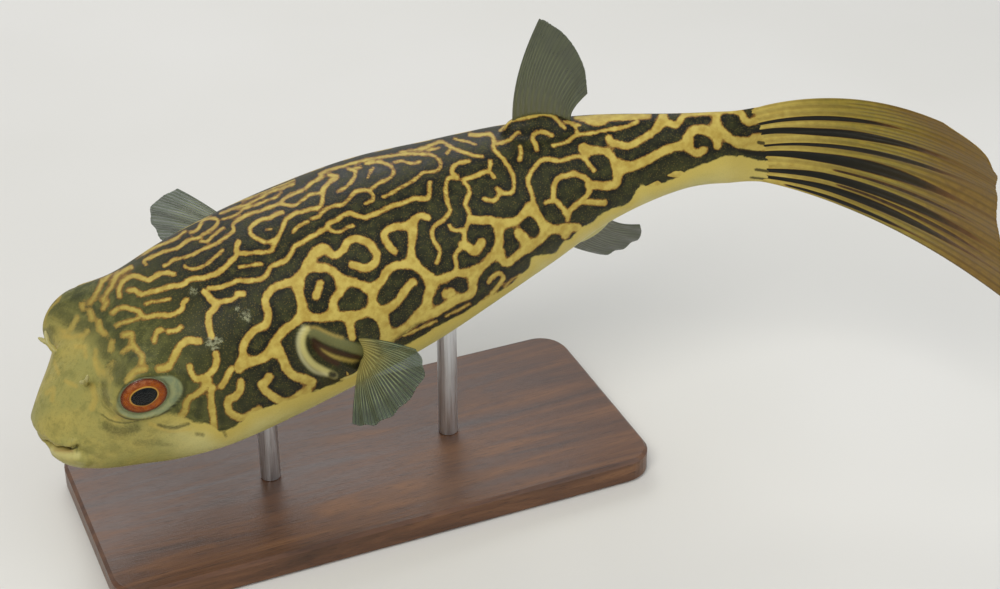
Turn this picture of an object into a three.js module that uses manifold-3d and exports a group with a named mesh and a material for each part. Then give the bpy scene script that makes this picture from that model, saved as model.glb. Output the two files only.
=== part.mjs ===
// A freshwater pufferfish (Tetraodon mbu), life size, still, on a plain display stand.
//
// Millimetres, +Z up. The fish is first laid out straight: x runs back from the mouth, y to the fish's own
// left and z up, all as fractions of the standard length. It is then bent sideways along its spine, tipped
// nose down and held over the stand. In the finished frame the head points to -X, the tail to +X and the
// fish's left side to -Y, with the origin at the centre of the underside of the stand's base.

import * as THREE from "three";
import { mergeVertices } from "three/addons/utils/BufferGeometryUtils.js";
import Module from "manifold-3d";

const wasm = await Module();
wasm.setup();

// ---- Driving dimensions -------------------------------------------------------------------------------

const STANDARD_LENGTH = 330; // from the mouth to the root of the tail fin
const GAP = 0.3; // clearance between pieces that meet
const degrees = (angle) => (angle * Math.PI) / 180;

// Pose
const NOSE_DOWN = degrees(14.7);
const HEAD_TURN = degrees(11); // how far the head turns to the fish's left
const HEAD_TURN_SPAN = [0.05, 0.42]; // where along the body that turn fades out
const TAIL_TURN = degrees(23.5); // how far the tail stalk swings to the fish's left
const TAIL_TURN_SPAN = [0.5, 1.0];
const STRAIGHT_AT = 0.35; // the station whose spine stays where it is when the body bends
const BALANCE_AT = 0.43; // the station that stands over the middle of the base
const BALANCE_HEIGHT = 100; // its height over the floor

// Stand
const BASE = { length: 250, width: 112, thickness: 12, corner: 14, bevel: 1.5 };
const ROD_RADIUS = 4.5;
const ROD_STATIONS = { front: 0.3, rear: 0.57 };

// Eyes
const EYE = { centre: [0.113, 0.0855, 0.08], radius: 13 };
const BROW = { centre: [0.114, 0.108, 0.092], direction: [0.02, 0.8, 0.6], height: 0.033, reach: 0.051 };

// Cuts that part the flesh
const HEAD_END = 0.335; // the gill line
const TRUNK_END = 0.8; // behind the dorsal and anal fins
const JAW_CUT = { x: -0.02, z: 0.024, slope: degrees(34) };

// The body's cross-sections, from the closed mouth to the root of the tail fin. Each row holds the place of
// the section's top, side and bottom, [x, z], [x, half width, z] and [x, z], and how square the section is.
const SECTIONS = [
  { top: [-0.0075, 0.0235], side: [0.012, 0.048, 0.0235], bottom: [-0.0075, 0.0205], square: 2.2 },
  { top: [-0.01, 0.031], side: [0.012, 0.052, 0.0225], bottom: [-0.007, 0.013], square: 2.2 },
  { top: [-0.0085, 0.043], side: [0.015, 0.057, 0.02], bottom: [-0.001, -0.004], square: 2.2 },
  { top: [0.002, 0.056], side: [0.026, 0.0635, 0.019], bottom: [0.013, -0.028], square: 2.2 },
  { top: [0.022, 0.073], side: [0.045, 0.074, 0.024], bottom: [0.042, -0.048], square: 2.25 },
  { top: [0.05, 0.09], side: [0.074, 0.091, 0.032], bottom: [0.083, -0.065], square: 2.3 },
  { top: [0.085, 0.108], side: [0.105, 0.108, 0.038], bottom: [0.12, -0.078], square: 2.4 },
  { top: [0.145, 0.131], side: [0.155, 0.125, 0.042], bottom: [0.165, -0.091], square: 2.4 },
  { top: [0.215, 0.151], side: [0.215, 0.136, 0.042], bottom: [0.215, -0.1015], square: 2.3 },
  { top: [0.3, 0.162], side: [0.3, 0.139, 0.038], bottom: [0.3, -0.1105], square: 2.15 },
  { top: [0.4, 0.164], side: [0.4, 0.137, 0.034], bottom: [0.4, -0.11], square: 2.1 },
  { top: [0.5, 0.158], side: [0.5, 0.128, 0.03], bottom: [0.5, -0.105], square: 2.1 },
  { top: [0.6, 0.139], side: [0.6, 0.11, 0.026], bottom: [0.6, -0.092], square: 2.1 },
  { top: [0.7, 0.123], side: [0.7, 0.088, 0.022], bottom: [0.7, -0.072], square: 2.1 },
  { top: [0.8, 0.104], side: [0.8, 0.062, 0.018], bottom: [0.8, -0.042], square: 2.1 },
  { top: [0.9, 0.08], side: [0.9, 0.038, 0.013], bottom: [0.9, -0.03], square: 2.1 },
  { top: [0.97, 0.068], side: [0.97, 0.024, 0.008], bottom: [0.97, -0.043], square: 2.1 },
  { top: [1.02, 0.065], side: [1.02, 0.012, 0.004], bottom: [1.02, -0.058], square: 2.1 },
];
const BODY_RINGS = 34;
const BODY_SIDES = 30;

// Fleshy lobes that carry the fins, as ellipsoids on the body
const LOBES = {
  dorsal: { centre: [0.731, 0, 0.119], radii: [0.044, 0.018, 0.02], tip: degrees(-17) },
  anal: { centre: [0.757, 0, -0.054], radii: [0.042, 0.017, 0.02], tip: degrees(14) },
  pectoralLeft: { centre: [0.376, 0.131, 0.008], radii: [0.03, 0.014, 0.037], tip: degrees(-12) },
  pectoralRight: { centre: [0.362, -0.134, 0.006], radii: [0.024, 0.02, 0.036], tip: degrees(-8) },
};
const GILL_FLAP = { centre: [0.341, 0.1325, 0.014], radii: [0.021, 0.012, 0.034], tip: degrees(-16) };
const GILL_SLIT = { radii: [0.02, 0.019, 0.0325], setBack: [0.015, 0, 0.004] }; // the hollow behind the flap
const TENTACLE = {
  base: [0.062, 0.043, 0.09],
  root: [0.002, -0.008, -0.006], // from the base, under the skin
  fork: [-0.002, 0.013, 0.013],
  lappets: [[-0.009, 0.021, 0.024], [0.003, 0.022, 0.027]],
  radii: { root: 1.7, fork: 1.05, knuckle: 1.15, tip: 0.4 }, // mm
};

// Fins: the edge of the root and of the margin as a few points, from the leading to the trailing ray
const DORSAL_FIN = {
  root: [[0.7, 0, 0.128], [0.74, 0, 0.126], [0.778, 0, 0.106]],
  margin: [[0.77, 0, 0.272], [0.785, 0, 0.256], [0.801, 0, 0.228], [0.81, 0, 0.185], [0.806, 0, 0.146]],
  bow: [-0.011, 0, 0],
  rays: 11,
};
const ANAL_FIN = {
  root: [[0.722, 0, -0.052], [0.76, 0, -0.056], [0.792, 0, -0.048]],
  margin: [[0.775, 0, -0.18], [0.795, 0, -0.182], [0.816, 0, -0.17], [0.832, 0, -0.145], [0.833, 0, -0.108]],
  bow: [-0.008, 0, 0],
  rays: 10,
};
const ANAL_FIN_SWING = degrees(33); // to the fish's right, about the line of its root
const PECTORAL_FIN_LEFT = {
  root: [[0.389, 0.129, 0.022], [0.395, 0.131, 0.002], [0.39, 0.128, -0.02]],
  margin: [
    [0.449, 0.216, 0.03], [0.442, 0.239, 0.006], [0.4, 0.246, -0.018], [0.362, 0.238, -0.03], [0.337, 0.219, -0.031],
  ],
  bow: [0, 0, 0.006],
  rays: 11,
};
const PECTORAL_FIN_RIGHT = {
  root: [[0.362, -0.142, 0.024], [0.37, -0.143, 0.002], [0.366, -0.138, -0.02]],
  margin: [
    [0.303, -0.25, 0.098], [0.27, -0.262, 0.083], [0.262, -0.258, 0.052], [0.27, -0.24, 0.018], [0.29, -0.216, -0.012],
  ],
  bow: [0, 0, 0.006],
  rays: 11,
};
const TAIL_FIN = {
  rootX: 1.008,
  rootTop: 0.0635,
  rootBottom: -0.0545,
  upAngle: degrees(10), // of the top ray, over the fish's long axis
  downAngle: degrees(26), // of the bottom ray, under it
  lengths: [0.29, 0.35, 0.355, 0.345, 0.335, 0.328, 0.33, 0.345, 0.348],
  curl: 0.93, // radians that the middle ray turns to the fish's left over curlLength
  curlSkew: 0.2, // radians that the top ray turns more than the middle one, and the bottom ray less
  curlPower: 0.6,
  curlLength: 0.35,
  droop: 0.075,
  rays: 13,
};
const FIN_THICKNESS = { ray: 1.5, web: 0.9, marginRay: 0.8, marginWeb: 0.6 };
const FIN_SINK = 0.008; // how far each fin starts inside the flesh before it is trimmed
const FIN_ROWS = { dorsal: 4, anal: 4, pectoral: 4, tail: 7 }; // steps from the root to the margin
const TAIL_CURL_STEPS = 12;

// How finely round things are faceted
const LOBE_SIDES = 14;
const EYE_SIDES = 16;
const TENTACLE_SIDES = 7;
const ROD_SIDES = 20;
const RINGS_PER_SIDE = 0.62; // a ball's rows from pole to pole, for each of its sides
const CORNER_STEPS = 4;

// ---- Small helpers ------------------------------------------------------------------------------------

const clamp01 = (value) => Math.min(1, Math.max(0, value));

function smoothStep(from, to, value) {
  const u = clamp01((value - from) / (to - from));
  return u * u * (3 - 2 * u);
}

// Catmull-Rom through rows of numbers, with the ends reflected
function splineRow(rows, t) {
  const last = rows.length - 1;
  const i = Math.min(last - 1, Math.floor(t));
  const f = t - i;
  const p1 = rows[i];
  const p2 = rows[i + 1];
  const p0 = i > 0 ? rows[i - 1] : p1.map((v, k) => 2 * v - p2[k]);
  const p3 = i + 2 <= last ? rows[i + 2] : p2.map((v, k) => 2 * v - p1[k]);
  return p1.map(
    (v, k) =>
      0.5 *
      (2 * v +
        (p2[k] - p0[k]) * f +
        (2 * p0[k] - 5 * v + 4 * p2[k] - p3[k]) * f * f +
        (3 * v - p0[k] - 3 * p2[k] + p3[k]) * f * f * f)
  );
}

// ---- From the straight fish to the finished frame -----------------------------------------------------

function heading(x) {
  const head = HEAD_TURN * (1 - smoothStep(...HEAD_TURN_SPAN, x));
  const tail = TAIL_TURN * smoothStep(...TAIL_TURN_SPAN, x);
  return tail - head;
}

// The bent spine as a table of places, one step of SPINE_STEP apart
const SPINE_START = -0.1;
const SPINE_STEP = 0.002;
const SPINE_COUNT = 800;
const spine = (() => {
  const places = [[SPINE_START, 0]];
  for (let i = 1; i < SPINE_COUNT; i += 1) {
    const middle = heading(SPINE_START + (i - 0.5) * SPINE_STEP);
    const [x, y] = places[i - 1];
    places.push([x + Math.cos(middle) * SPINE_STEP, y + Math.sin(middle) * SPINE_STEP]);
  }
  const [fixedX, fixedY] = places[Math.round((STRAIGHT_AT - SPINE_START) / SPINE_STEP)];
  return places.map(([x, y]) => [x - fixedX + STRAIGHT_AT, y - fixedY]);
})();

function spineAt(x) {
  const t = (x - SPINE_START) / SPINE_STEP;
  const i = Math.min(SPINE_COUNT - 2, Math.max(0, Math.floor(t)));
  const f = t - i;
  return [0, 1].map((k) => spine[i][k] * (1 - f) + spine[i + 1][k] * f);
}

function bend([x, y, z]) {
  const [spineX, spineY] = spineAt(x);
  const turn = heading(x);
  return [spineX - Math.sin(turn) * y, spineY + Math.cos(turn) * y, z];
}

// From the bent fish, still level and in fractions, to millimetres over the stand
function pose([x, y, z]) {
  const along = x - BALANCE_AT;
  return new THREE.Vector3(
    STANDARD_LENGTH * (along * Math.cos(NOSE_DOWN) - z * Math.sin(NOSE_DOWN)),
    -STANDARD_LENGTH * y,
    BALANCE_HEIGHT + STANDARD_LENGTH * (along * Math.sin(NOSE_DOWN) + z * Math.cos(NOSE_DOWN))
  );
}

const place = (point) => pose(bend(point));

// ---- Meshes and solids --------------------------------------------------------------------------------

function geometryFrom(points, triangles) {
  const geometry = new THREE.BufferGeometry();
  const coordinates = points.flatMap((p) => [p.x, p.y, p.z]);
  geometry.setAttribute("position", new THREE.Float32BufferAttribute(coordinates, 3));
  geometry.setIndex(triangles.flat());
  return geometry;
}

function solidFrom(geometry) {
  const bare = geometry.clone();
  bare.deleteAttribute("normal");
  bare.deleteAttribute("uv");
  const merged = mergeVertices(bare);
  const mesh = new wasm.Mesh({
    numProp: 3,
    vertProperties: new Float32Array(merged.attributes.position.array),
    triVerts: new Uint32Array(merged.index.array),
  });
  return new wasm.Manifold(mesh);
}

function geometryOf(solid) {
  const mesh = solid.getMesh();
  const geometry = new THREE.BufferGeometry();
  geometry.setAttribute("position", new THREE.Float32BufferAttribute(mesh.vertProperties, 3));
  geometry.setIndex(Array.from(mesh.triVerts));
  geometry.computeVertexNormals();
  return geometry;
}

// A box in the frame of the spine at x: its own x runs back, y aside and z up. It reaches from low to high,
// both in fractions of the standard length about that point, and is as wide to the right as to the left.
function spineBox(x, low, high, tilt = 0, z = 0) {
  const size = high.map((v, k) => (v - low[k]) * STANDARD_LENGTH);
  const middle = high.map((v, k) => ((v + low[k]) / 2) * STANDARD_LENGTH);
  const box = new THREE.BoxGeometry(...size);
  box.translate(...middle);
  box.rotateY(tilt);
  const centre = place([x, 0, z]);
  const back = place([x + 0.001, 0, z]).sub(centre).normalize();
  const up = place([x, 0, z + 0.001]).sub(centre).normalize();
  const aside = new THREE.Vector3().crossVectors(up, back); // to the fish's right
  const frame = new THREE.Matrix4().makeBasis(back, aside, up).setPosition(centre);
  box.applyMatrix4(frame);
  return solidFrom(box);
}

// ---- Body ---------------------------------------------------------------------------------------------

const SECTION_ROWS = SECTIONS.map(({ top, side, bottom, square }) => [...top, ...side, ...bottom, square]);

function browShift(point, side) {
  const offset = BROW.centre.map((v, k) => point[k] - (k === 1 ? side * v : v));
  const distance = Math.hypot(...offset) / BROW.reach;
  return BROW.height * Math.exp(-distance * distance);
}

// A point of the body's surface: t counts sections back from the mouth, angle turns from the top to the left
function bodyPoint(t, angle, grow = 0) {
  const [topX, topZ, sideX, halfWidth, sideZ, bottomX, bottomZ, square] = splineRow(SECTION_ROWS, t);
  const power = 2 / square;
  const rise = Math.sign(Math.cos(angle)) * Math.abs(Math.cos(angle)) ** power;
  const reach = Math.sign(Math.sin(angle)) * Math.abs(Math.sin(angle)) ** power;
  const over = Math.max(rise, 0);
  const under = Math.max(-rise, 0);
  const point = [
    sideX + (topX - sideX) * over ** 2 + (bottomX - sideX) * under ** 2,
    halfWidth * reach,
    sideZ + (topZ - sideZ) * over + (bottomZ - sideZ) * under,
  ];
  const [aheadX, aheadY, aheadZ] = BROW.direction;
  const left = browShift(point, 1);
  const right = browShift(point, -1);
  point[0] += (left + right) * aheadX;
  point[1] += (left - right) * aheadY + grow * reach;
  point[2] += (left + right) * aheadZ + grow * rise;
  return point;
}

function bodySolid(grow = 0) {
  const margin = grow / STANDARD_LENGTH;
  const points = [];
  const triangles = [];
  const lastT = SECTIONS.length - 1;
  for (let ring = 0; ring <= BODY_RINGS; ring += 1) {
    for (let side = 0; side < BODY_SIDES; side += 1) {
      const angle = (2 * Math.PI * side) / BODY_SIDES;
      points.push(place(bodyPoint((lastT * ring) / BODY_RINGS, angle, margin)));
    }
  }
  for (let ring = 0; ring < BODY_RINGS; ring += 1) {
    for (let side = 0; side < BODY_SIDES; side += 1) {
      const next = (side + 1) % BODY_SIDES;
      const [a, b] = [ring * BODY_SIDES + side, ring * BODY_SIDES + next];
      const [c, d] = [a + BODY_SIDES, b + BODY_SIDES];
      triangles.push([a, b, d], [a, d, c]);
    }
  }
  const mouth = points.length;
  const [mouthTop, mouthBottom] = [SECTION_ROWS[0].slice(0, 2), SECTION_ROWS[0].slice(5, 7)];
  points.push(place([mouthTop[0], 0, (mouthTop[1] + mouthBottom[1]) / 2]));
  const end = points.length;
  points.push(place([SECTION_ROWS[lastT][0], 0, 0]));
  const lastRing = BODY_RINGS * BODY_SIDES;
  for (let side = 0; side < BODY_SIDES; side += 1) {
    const next = (side + 1) % BODY_SIDES;
    triangles.push([mouth, next, side], [end, lastRing + side, lastRing + next]);
  }
  return solidFrom(geometryFrom(points, triangles));
}

// ---- Lobes, gill flaps and nasal tentacles ------------------------------------------------------------

// An ellipsoid on the straight fish, tipped by a turn in the fish's side plane, then posed
function lobeSolid({ centre, radii, tip }, grow = 0, shift = [0, 0, 0]) {
  const margin = grow / STANDARD_LENGTH;
  const ball = new THREE.SphereGeometry(1, LOBE_SIDES, Math.round(LOBE_SIDES * RINGS_PER_SIDE));
  const position = ball.attributes.position;
  const points = [];
  for (let i = 0; i < position.count; i += 1) {
    const onBall = [position.getX(i), position.getY(i), position.getZ(i)];
    const [x, y, z] = onBall.map((v, k) => v * (radii[k] + margin));
    const turned = [x * Math.cos(tip) - z * Math.sin(tip), y, x * Math.sin(tip) + z * Math.cos(tip)];
    points.push(place(turned.map((v, k) => v + centre[k] + shift[k])));
  }
  return solidFrom(outward(geometryFrom(points, [Array.from(ball.index.array)])));
}

// The posed frame mirrors the straight one, so a mesh made there has its faces turned round to point out
function outward(geometry) {
  const index = geometry.index.array;
  for (let i = 0; i < index.length; i += 3) {
    [index[i + 1], index[i + 2]] = [index[i + 2], index[i + 1]];
  }
  return geometry;
}

function onSide(shape, side) {
  const [x, y, z] = shape.centre;
  return { ...shape, centre: [x, side * y, z] };
}

// A crescent: the flap's ellipsoid without the hollow behind it
function gillFlapSolid(side) {
  const flap = onSide(GILL_FLAP, side);
  return lobeSolid(flap).subtract(lobeSolid({ ...flap, radii: GILL_SLIT.radii }, 0, GILL_SLIT.setBack));
}

function ballSolid(centre, radius, sides) {
  const geometry = new THREE.SphereGeometry(radius, sides, Math.round(sides * RINGS_PER_SIDE));
  geometry.translate(centre.x, centre.y, centre.z);
  return solidFrom(geometry);
}

function taperedRod(from, to, startRadius, endRadius) {
  const axis = new THREE.Vector3().subVectors(to, from);
  const rod = new THREE.CylinderGeometry(endRadius, startRadius, axis.length(), TENTACLE_SIDES);
  rod.translate(0, axis.length() / 2, 0);
  rod.applyQuaternion(new THREE.Quaternion().setFromUnitVectors(new THREE.Vector3(0, 1, 0), axis.normalize()));
  rod.translate(from.x, from.y, from.z);
  return solidFrom(rod);
}

// A short stalk that forks into two lappets
function tentacleSolid(side) {
  const { base, root, fork, lappets, radii } = TENTACLE;
  const at = (offset) => place([base[0] + offset[0], side * (base[1] + offset[1]), base[2] + offset[2]]);
  let solid = taperedRod(at(root), at(fork), radii.root, radii.fork);
  solid = solid.add(ballSolid(at(fork), radii.knuckle, TENTACLE_SIDES));
  for (const tip of lappets) {
    solid = solid.add(taperedRod(at(fork), at(tip), radii.fork, radii.tip));
  }
  return solid;
}

// ---- Fins ---------------------------------------------------------------------------------------------

const spread = (points, u) => splineRow(points, u * (points.length - 1));

// A thin closed solid either side of a sheet: sheet(u, v) runs across the rays with u and out along them with v
function finSolid(sheet, rays, rows) {
  const columns = 2 * rays;
  const points = [];
  const triangles = [];
  const step = 0.002;
  const halfThickness = (column, v) => {
    const { ray, web, marginRay, marginWeb } = FIN_THICKNESS;
    const onRay = column % 2 === 1;
    return (onRay ? ray + (marginRay - ray) * v : web + (marginWeb - web) * v) / 2;
  };
  for (const side of [1, -1]) {
    for (let column = 0; column <= columns; column += 1) {
      for (let row = 0; row <= rows; row += 1) {
        const [u, v] = [column / columns, row / rows];
        const across = sheet(Math.min(1, u + step), v).sub(sheet(Math.max(0, u - step), v));
        const along = sheet(u, Math.min(1, v + step)).sub(sheet(u, Math.max(0, v - step)));
        const normal = across.cross(along).normalize();
        points.push(sheet(u, v).addScaledVector(normal, side * halfThickness(column, v)));
      }
    }
  }
  const at = (layer, column, row) => (layer * (columns + 1) + column) * (rows + 1) + row;
  const quad = (a, b, c, d) => triangles.push([a, b, c], [a, c, d]);
  for (let column = 0; column < columns; column += 1) {
    for (let row = 0; row < rows; row += 1) {
      quad(at(0, column, row), at(0, column + 1, row), at(0, column + 1, row + 1), at(0, column, row + 1));
      quad(at(1, column, row), at(1, column, row + 1), at(1, column + 1, row + 1), at(1, column + 1, row));
    }
    quad(at(0, column, 0), at(1, column, 0), at(1, column + 1, 0), at(0, column + 1, 0));
    quad(at(0, column, rows), at(0, column + 1, rows), at(1, column + 1, rows), at(1, column, rows));
  }
  for (let row = 0; row < rows; row += 1) {
    quad(at(0, 0, row), at(0, 0, row + 1), at(1, 0, row + 1), at(1, 0, row));
    quad(at(0, columns, row), at(1, columns, row), at(1, columns, row + 1), at(0, columns, row + 1));
  }
  const solid = solidFrom(geometryFrom(points, triangles));
  return solid.volume() > 0 ? solid : solidFrom(outward(geometryFrom(points, triangles)));
}

// The sheet of a fin that is given by its root, its margin and how far its rays bow
function raySheet({ root, margin, bow }, swing = 0) {
  return (u, v) => {
    const from = spread(root, u);
    const to = spread(margin, u);
    const length = Math.hypot(...to.map((value, k) => value - from[k]));
    const along = v * (1 + FIN_SINK / length) - FIN_SINK / length;
    const bulge = 4 * Math.max(0, along) * (1 - along);
    const [x, y, z] = from.map((value, k) => value + (to[k] - value) * along + bow[k] * bulge);
    const hinge = root[1][2];
    const drop = hinge - z;
    return place([x, y - drop * Math.sin(swing), hinge - drop * Math.cos(swing)]);
  };
}

// The tail fin's sheet: a flat fan that curls to the fish's left and droops
function tailFinSheet(u, v) {
  const fin = TAIL_FIN;
  const across = 2 * u - 1; // -1 at the top ray, 1 at the bottom one
  const angle = across < 0 ? -across * fin.upAngle : -across * fin.downAngle;
  const [length] = spread(fin.lengths.map((value) => [value]), u);
  const reach = v * (length + FIN_SINK * 2) - FIN_SINK * 2;
  const height = fin.rootTop + (fin.rootBottom - fin.rootTop) * u + reach * Math.sin(angle);
  const along = reach * Math.cos(angle);
  const curl = fin.curl - fin.curlSkew * across;
  let [x, y] = bend([fin.rootX, 0, 0]);
  for (let i = 0; i < TAIL_CURL_STEPS; i += 1) {
    const share = Math.max(0, ((i + 0.5) / TAIL_CURL_STEPS) * along) / fin.curlLength;
    const turn = TAIL_TURN + curl * share ** fin.curlPower;
    x += (Math.cos(turn) * along) / TAIL_CURL_STEPS;
    y += (Math.sin(turn) * along) / TAIL_CURL_STEPS;
  }
  const droop = fin.droop * Math.max(0, along) ** 2 / fin.curlLength;
  return pose([x, y, height - droop]);
}

// ---- Stand --------------------------------------------------------------------------------------------

function baseGeometry() {
  const { length, width, thickness, corner, bevel } = BASE;
  const [halfLength, halfWidth, radius] = [length / 2 - bevel, width / 2 - bevel, corner - bevel];
  const outline = new THREE.Shape();
  outline.moveTo(halfLength - radius, -halfWidth);
  outline.absarc(halfLength - radius, radius - halfWidth, radius, -Math.PI / 2, 0, false);
  outline.absarc(halfLength - radius, halfWidth - radius, radius, 0, Math.PI / 2, false);
  outline.absarc(radius - halfLength, halfWidth - radius, radius, Math.PI / 2, Math.PI, false);
  outline.absarc(radius - halfLength, radius - halfWidth, radius, Math.PI, 1.5 * Math.PI, false);
  outline.closePath();
  const geometry = new THREE.ExtrudeGeometry(outline, {
    depth: thickness - 2 * bevel,
    bevelThickness: bevel,
    bevelSize: bevel,
    bevelSegments: 1,
    curveSegments: CORNER_STEPS,
  });
  geometry.translate(0, 0, bevel);
  return geometry;
}

// A rod stands on the base and runs up to the fish's belly line at a station
function rodSolid(station) {
  const { x, y, z } = place([station, 0, 0]);
  const foot = BASE.thickness + GAP;
  const rod = new THREE.CylinderGeometry(ROD_RADIUS, ROD_RADIUS, z - foot, ROD_SIDES);
  rod.rotateX(Math.PI / 2);
  rod.translate(x, y, (z + foot) / 2);
  return solidFrom(rod);
}

// ---- The fish and its stand ---------------------------------------------------------------------------

const COLOURS = {
  skin: { color: "#6f6a33", roughness: 0.5, metalness: 0 },
  tailFin: { color: "#8a7a38", roughness: 0.55, metalness: 0 },
  clearFin: { color: "#5a6152", roughness: 0.5, metalness: 0 },
  eye: { color: "#a1501c", roughness: 0.15, metalness: 0 },
  wood: { color: "#4a3226", roughness: 0.5, metalness: 0 },
  steel: { color: "#b4b6b8", roughness: 0.35, metalness: 1 },
};

const fishOnStand = new THREE.Group();

function addNode(name, geometry, colour) {
  const node = new THREE.Mesh(geometry, new THREE.MeshStandardMaterial(COLOURS[colour]));
  node.name = name;
  fishOnStand.add(node);
}

const addSolid = (name, solid, colour) => addNode(name, geometryOf(solid), colour);

function eyePlace(side) {
  const [x, y, z] = EYE.centre;
  return place([x, side * y, z]);
}

const FAR = 2; // longer than the fish, for boxes that take all that lies on one side of a cut
const halfGap = GAP / 2 / STANDARD_LENGTH;
const ahead = (x) => spineBox(x, [-FAR, -FAR, -FAR], [-halfGap, FAR, FAR]);
const behind = (x) => spineBox(x, [halfGap, -FAR, -FAR], [FAR, FAR, FAR]);
const SIDES = { left: 1, right: -1 };

const eyeBall = (side, grow = 0) => ballSolid(eyePlace(side), EYE.radius + grow, EYE_SIDES);

function addFlesh(body) {
  const front = body.intersect(ahead(HEAD_END));
  const back = body.intersect(behind(HEAD_END));
  const underJaw = spineBox(JAW_CUT.x, [-FAR, -FAR, -FAR], [FAR, FAR, -halfGap], JAW_CUT.slope, JAW_CUT.z);
  const overJaw = spineBox(JAW_CUT.x, [-FAR, -FAR, halfGap], [FAR, FAR, FAR], JAW_CUT.slope, JAW_CUT.z);
  const skull = front.intersect(overJaw);
  const backWithLobes = back.add(lobeSolid(LOBES.dorsal)).add(lobeSolid(LOBES.anal));
  addSolid("lower_jaw", front.intersect(underJaw), "skin");
  addSolid("head", skull.subtract(eyeBall(SIDES.left, GAP)).subtract(eyeBall(SIDES.right, GAP)), "skin");
  addSolid("trunk", backWithLobes.intersect(ahead(TRUNK_END)), "skin");
  addSolid("tail_stalk", back.intersect(behind(TRUNK_END)), "skin");
}

function addPaired(bodyWithClearance) {
  for (const [name, side] of Object.entries(SIDES)) {
    const left = side > 0;
    const lobe = left ? LOBES.pectoralLeft : LOBES.pectoralRight;
    const fin = left ? PECTORAL_FIN_LEFT : PECTORAL_FIN_RIGHT;
    const grownLobe = lobeSolid(lobe, GAP);
    addSolid(`eye_${name}`, eyeBall(side), "eye");
    addSolid(`nasal_tentacle_${name}`, tentacleSolid(side).subtract(bodyWithClearance), "skin");
    addSolid(`gill_flap_${name}`, gillFlapSolid(side).subtract(bodyWithClearance).subtract(grownLobe), "skin");
    addSolid(`pectoral_base_${name}`, lobeSolid(lobe).subtract(bodyWithClearance), "skin");
    const fan = finSolid(raySheet(fin), fin.rays, FIN_ROWS.pectoral);
    addSolid(`pectoral_fin_${name}`, fan.subtract(bodyWithClearance).subtract(grownLobe), "clearFin");
  }
}

function addMedianFins(bodyWithClearance) {
  const dorsal = finSolid(raySheet(DORSAL_FIN), DORSAL_FIN.rays, FIN_ROWS.dorsal);
  const anal = finSolid(raySheet(ANAL_FIN, ANAL_FIN_SWING), ANAL_FIN.rays, FIN_ROWS.anal);
  const tail = finSolid(tailFinSheet, TAIL_FIN.rays, FIN_ROWS.tail);
  addSolid("dorsal_fin", dorsal.subtract(bodyWithClearance).subtract(lobeSolid(LOBES.dorsal, GAP)), "clearFin");
  addSolid("anal_fin", anal.subtract(bodyWithClearance).subtract(lobeSolid(LOBES.anal, GAP)), "clearFin");
  addSolid("caudal_fin", tail.subtract(bodyWithClearance), "tailFin");
}

function addStand(bodyWithClearance) {
  addNode("stand_base", baseGeometry(), "wood");
  for (const [name, station] of Object.entries(ROD_STATIONS)) {
    addSolid(`stand_rod_${name}`, rodSolid(station).subtract(bodyWithClearance), "steel");
  }
}

const clearance = bodySolid(GAP);
addFlesh(bodySolid());
addPaired(clearance);
addMedianFins(clearance);
addStand(clearance);

export default fishOnStand;
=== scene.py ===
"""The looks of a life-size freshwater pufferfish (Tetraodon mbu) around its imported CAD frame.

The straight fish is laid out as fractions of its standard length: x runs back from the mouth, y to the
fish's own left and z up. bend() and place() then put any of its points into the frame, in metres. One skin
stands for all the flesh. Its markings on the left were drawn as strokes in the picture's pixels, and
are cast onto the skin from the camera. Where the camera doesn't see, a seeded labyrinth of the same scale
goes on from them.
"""

import math

import bpy
import numpy as np
from mathutils import Matrix


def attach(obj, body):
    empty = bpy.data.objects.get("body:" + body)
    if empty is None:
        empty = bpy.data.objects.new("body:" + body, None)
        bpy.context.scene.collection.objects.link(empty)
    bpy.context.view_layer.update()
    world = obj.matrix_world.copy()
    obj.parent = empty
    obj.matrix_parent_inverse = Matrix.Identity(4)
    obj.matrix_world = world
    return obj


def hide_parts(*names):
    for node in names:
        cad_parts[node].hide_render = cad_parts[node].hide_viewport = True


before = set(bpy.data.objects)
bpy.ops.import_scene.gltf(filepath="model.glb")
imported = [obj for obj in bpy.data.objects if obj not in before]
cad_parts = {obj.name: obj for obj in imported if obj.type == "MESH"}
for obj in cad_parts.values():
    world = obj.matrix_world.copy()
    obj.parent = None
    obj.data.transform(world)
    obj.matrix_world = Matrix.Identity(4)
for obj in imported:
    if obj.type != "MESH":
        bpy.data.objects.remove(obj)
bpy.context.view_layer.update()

# ---- Sizes --------------------------------------------------------------------------------------------

MM = 0.001
STANDARD_LENGTH = 0.330
ONE_MM = MM / STANDARD_LENGTH  # a millimetre, as a fraction of the standard length

# Pose, as in the CAD
NOSE_DOWN = math.radians(14.7)
HEAD_TURN = math.radians(11)
HEAD_TURN_SPAN = (0.05, 0.42)
TAIL_TURN = math.radians(23.5)
TAIL_TURN_SPAN = (0.5, 1.0)
STRAIGHT_AT = 0.35
BALANCE_AT = 0.43
BALANCE_HEIGHT = 0.100

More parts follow.
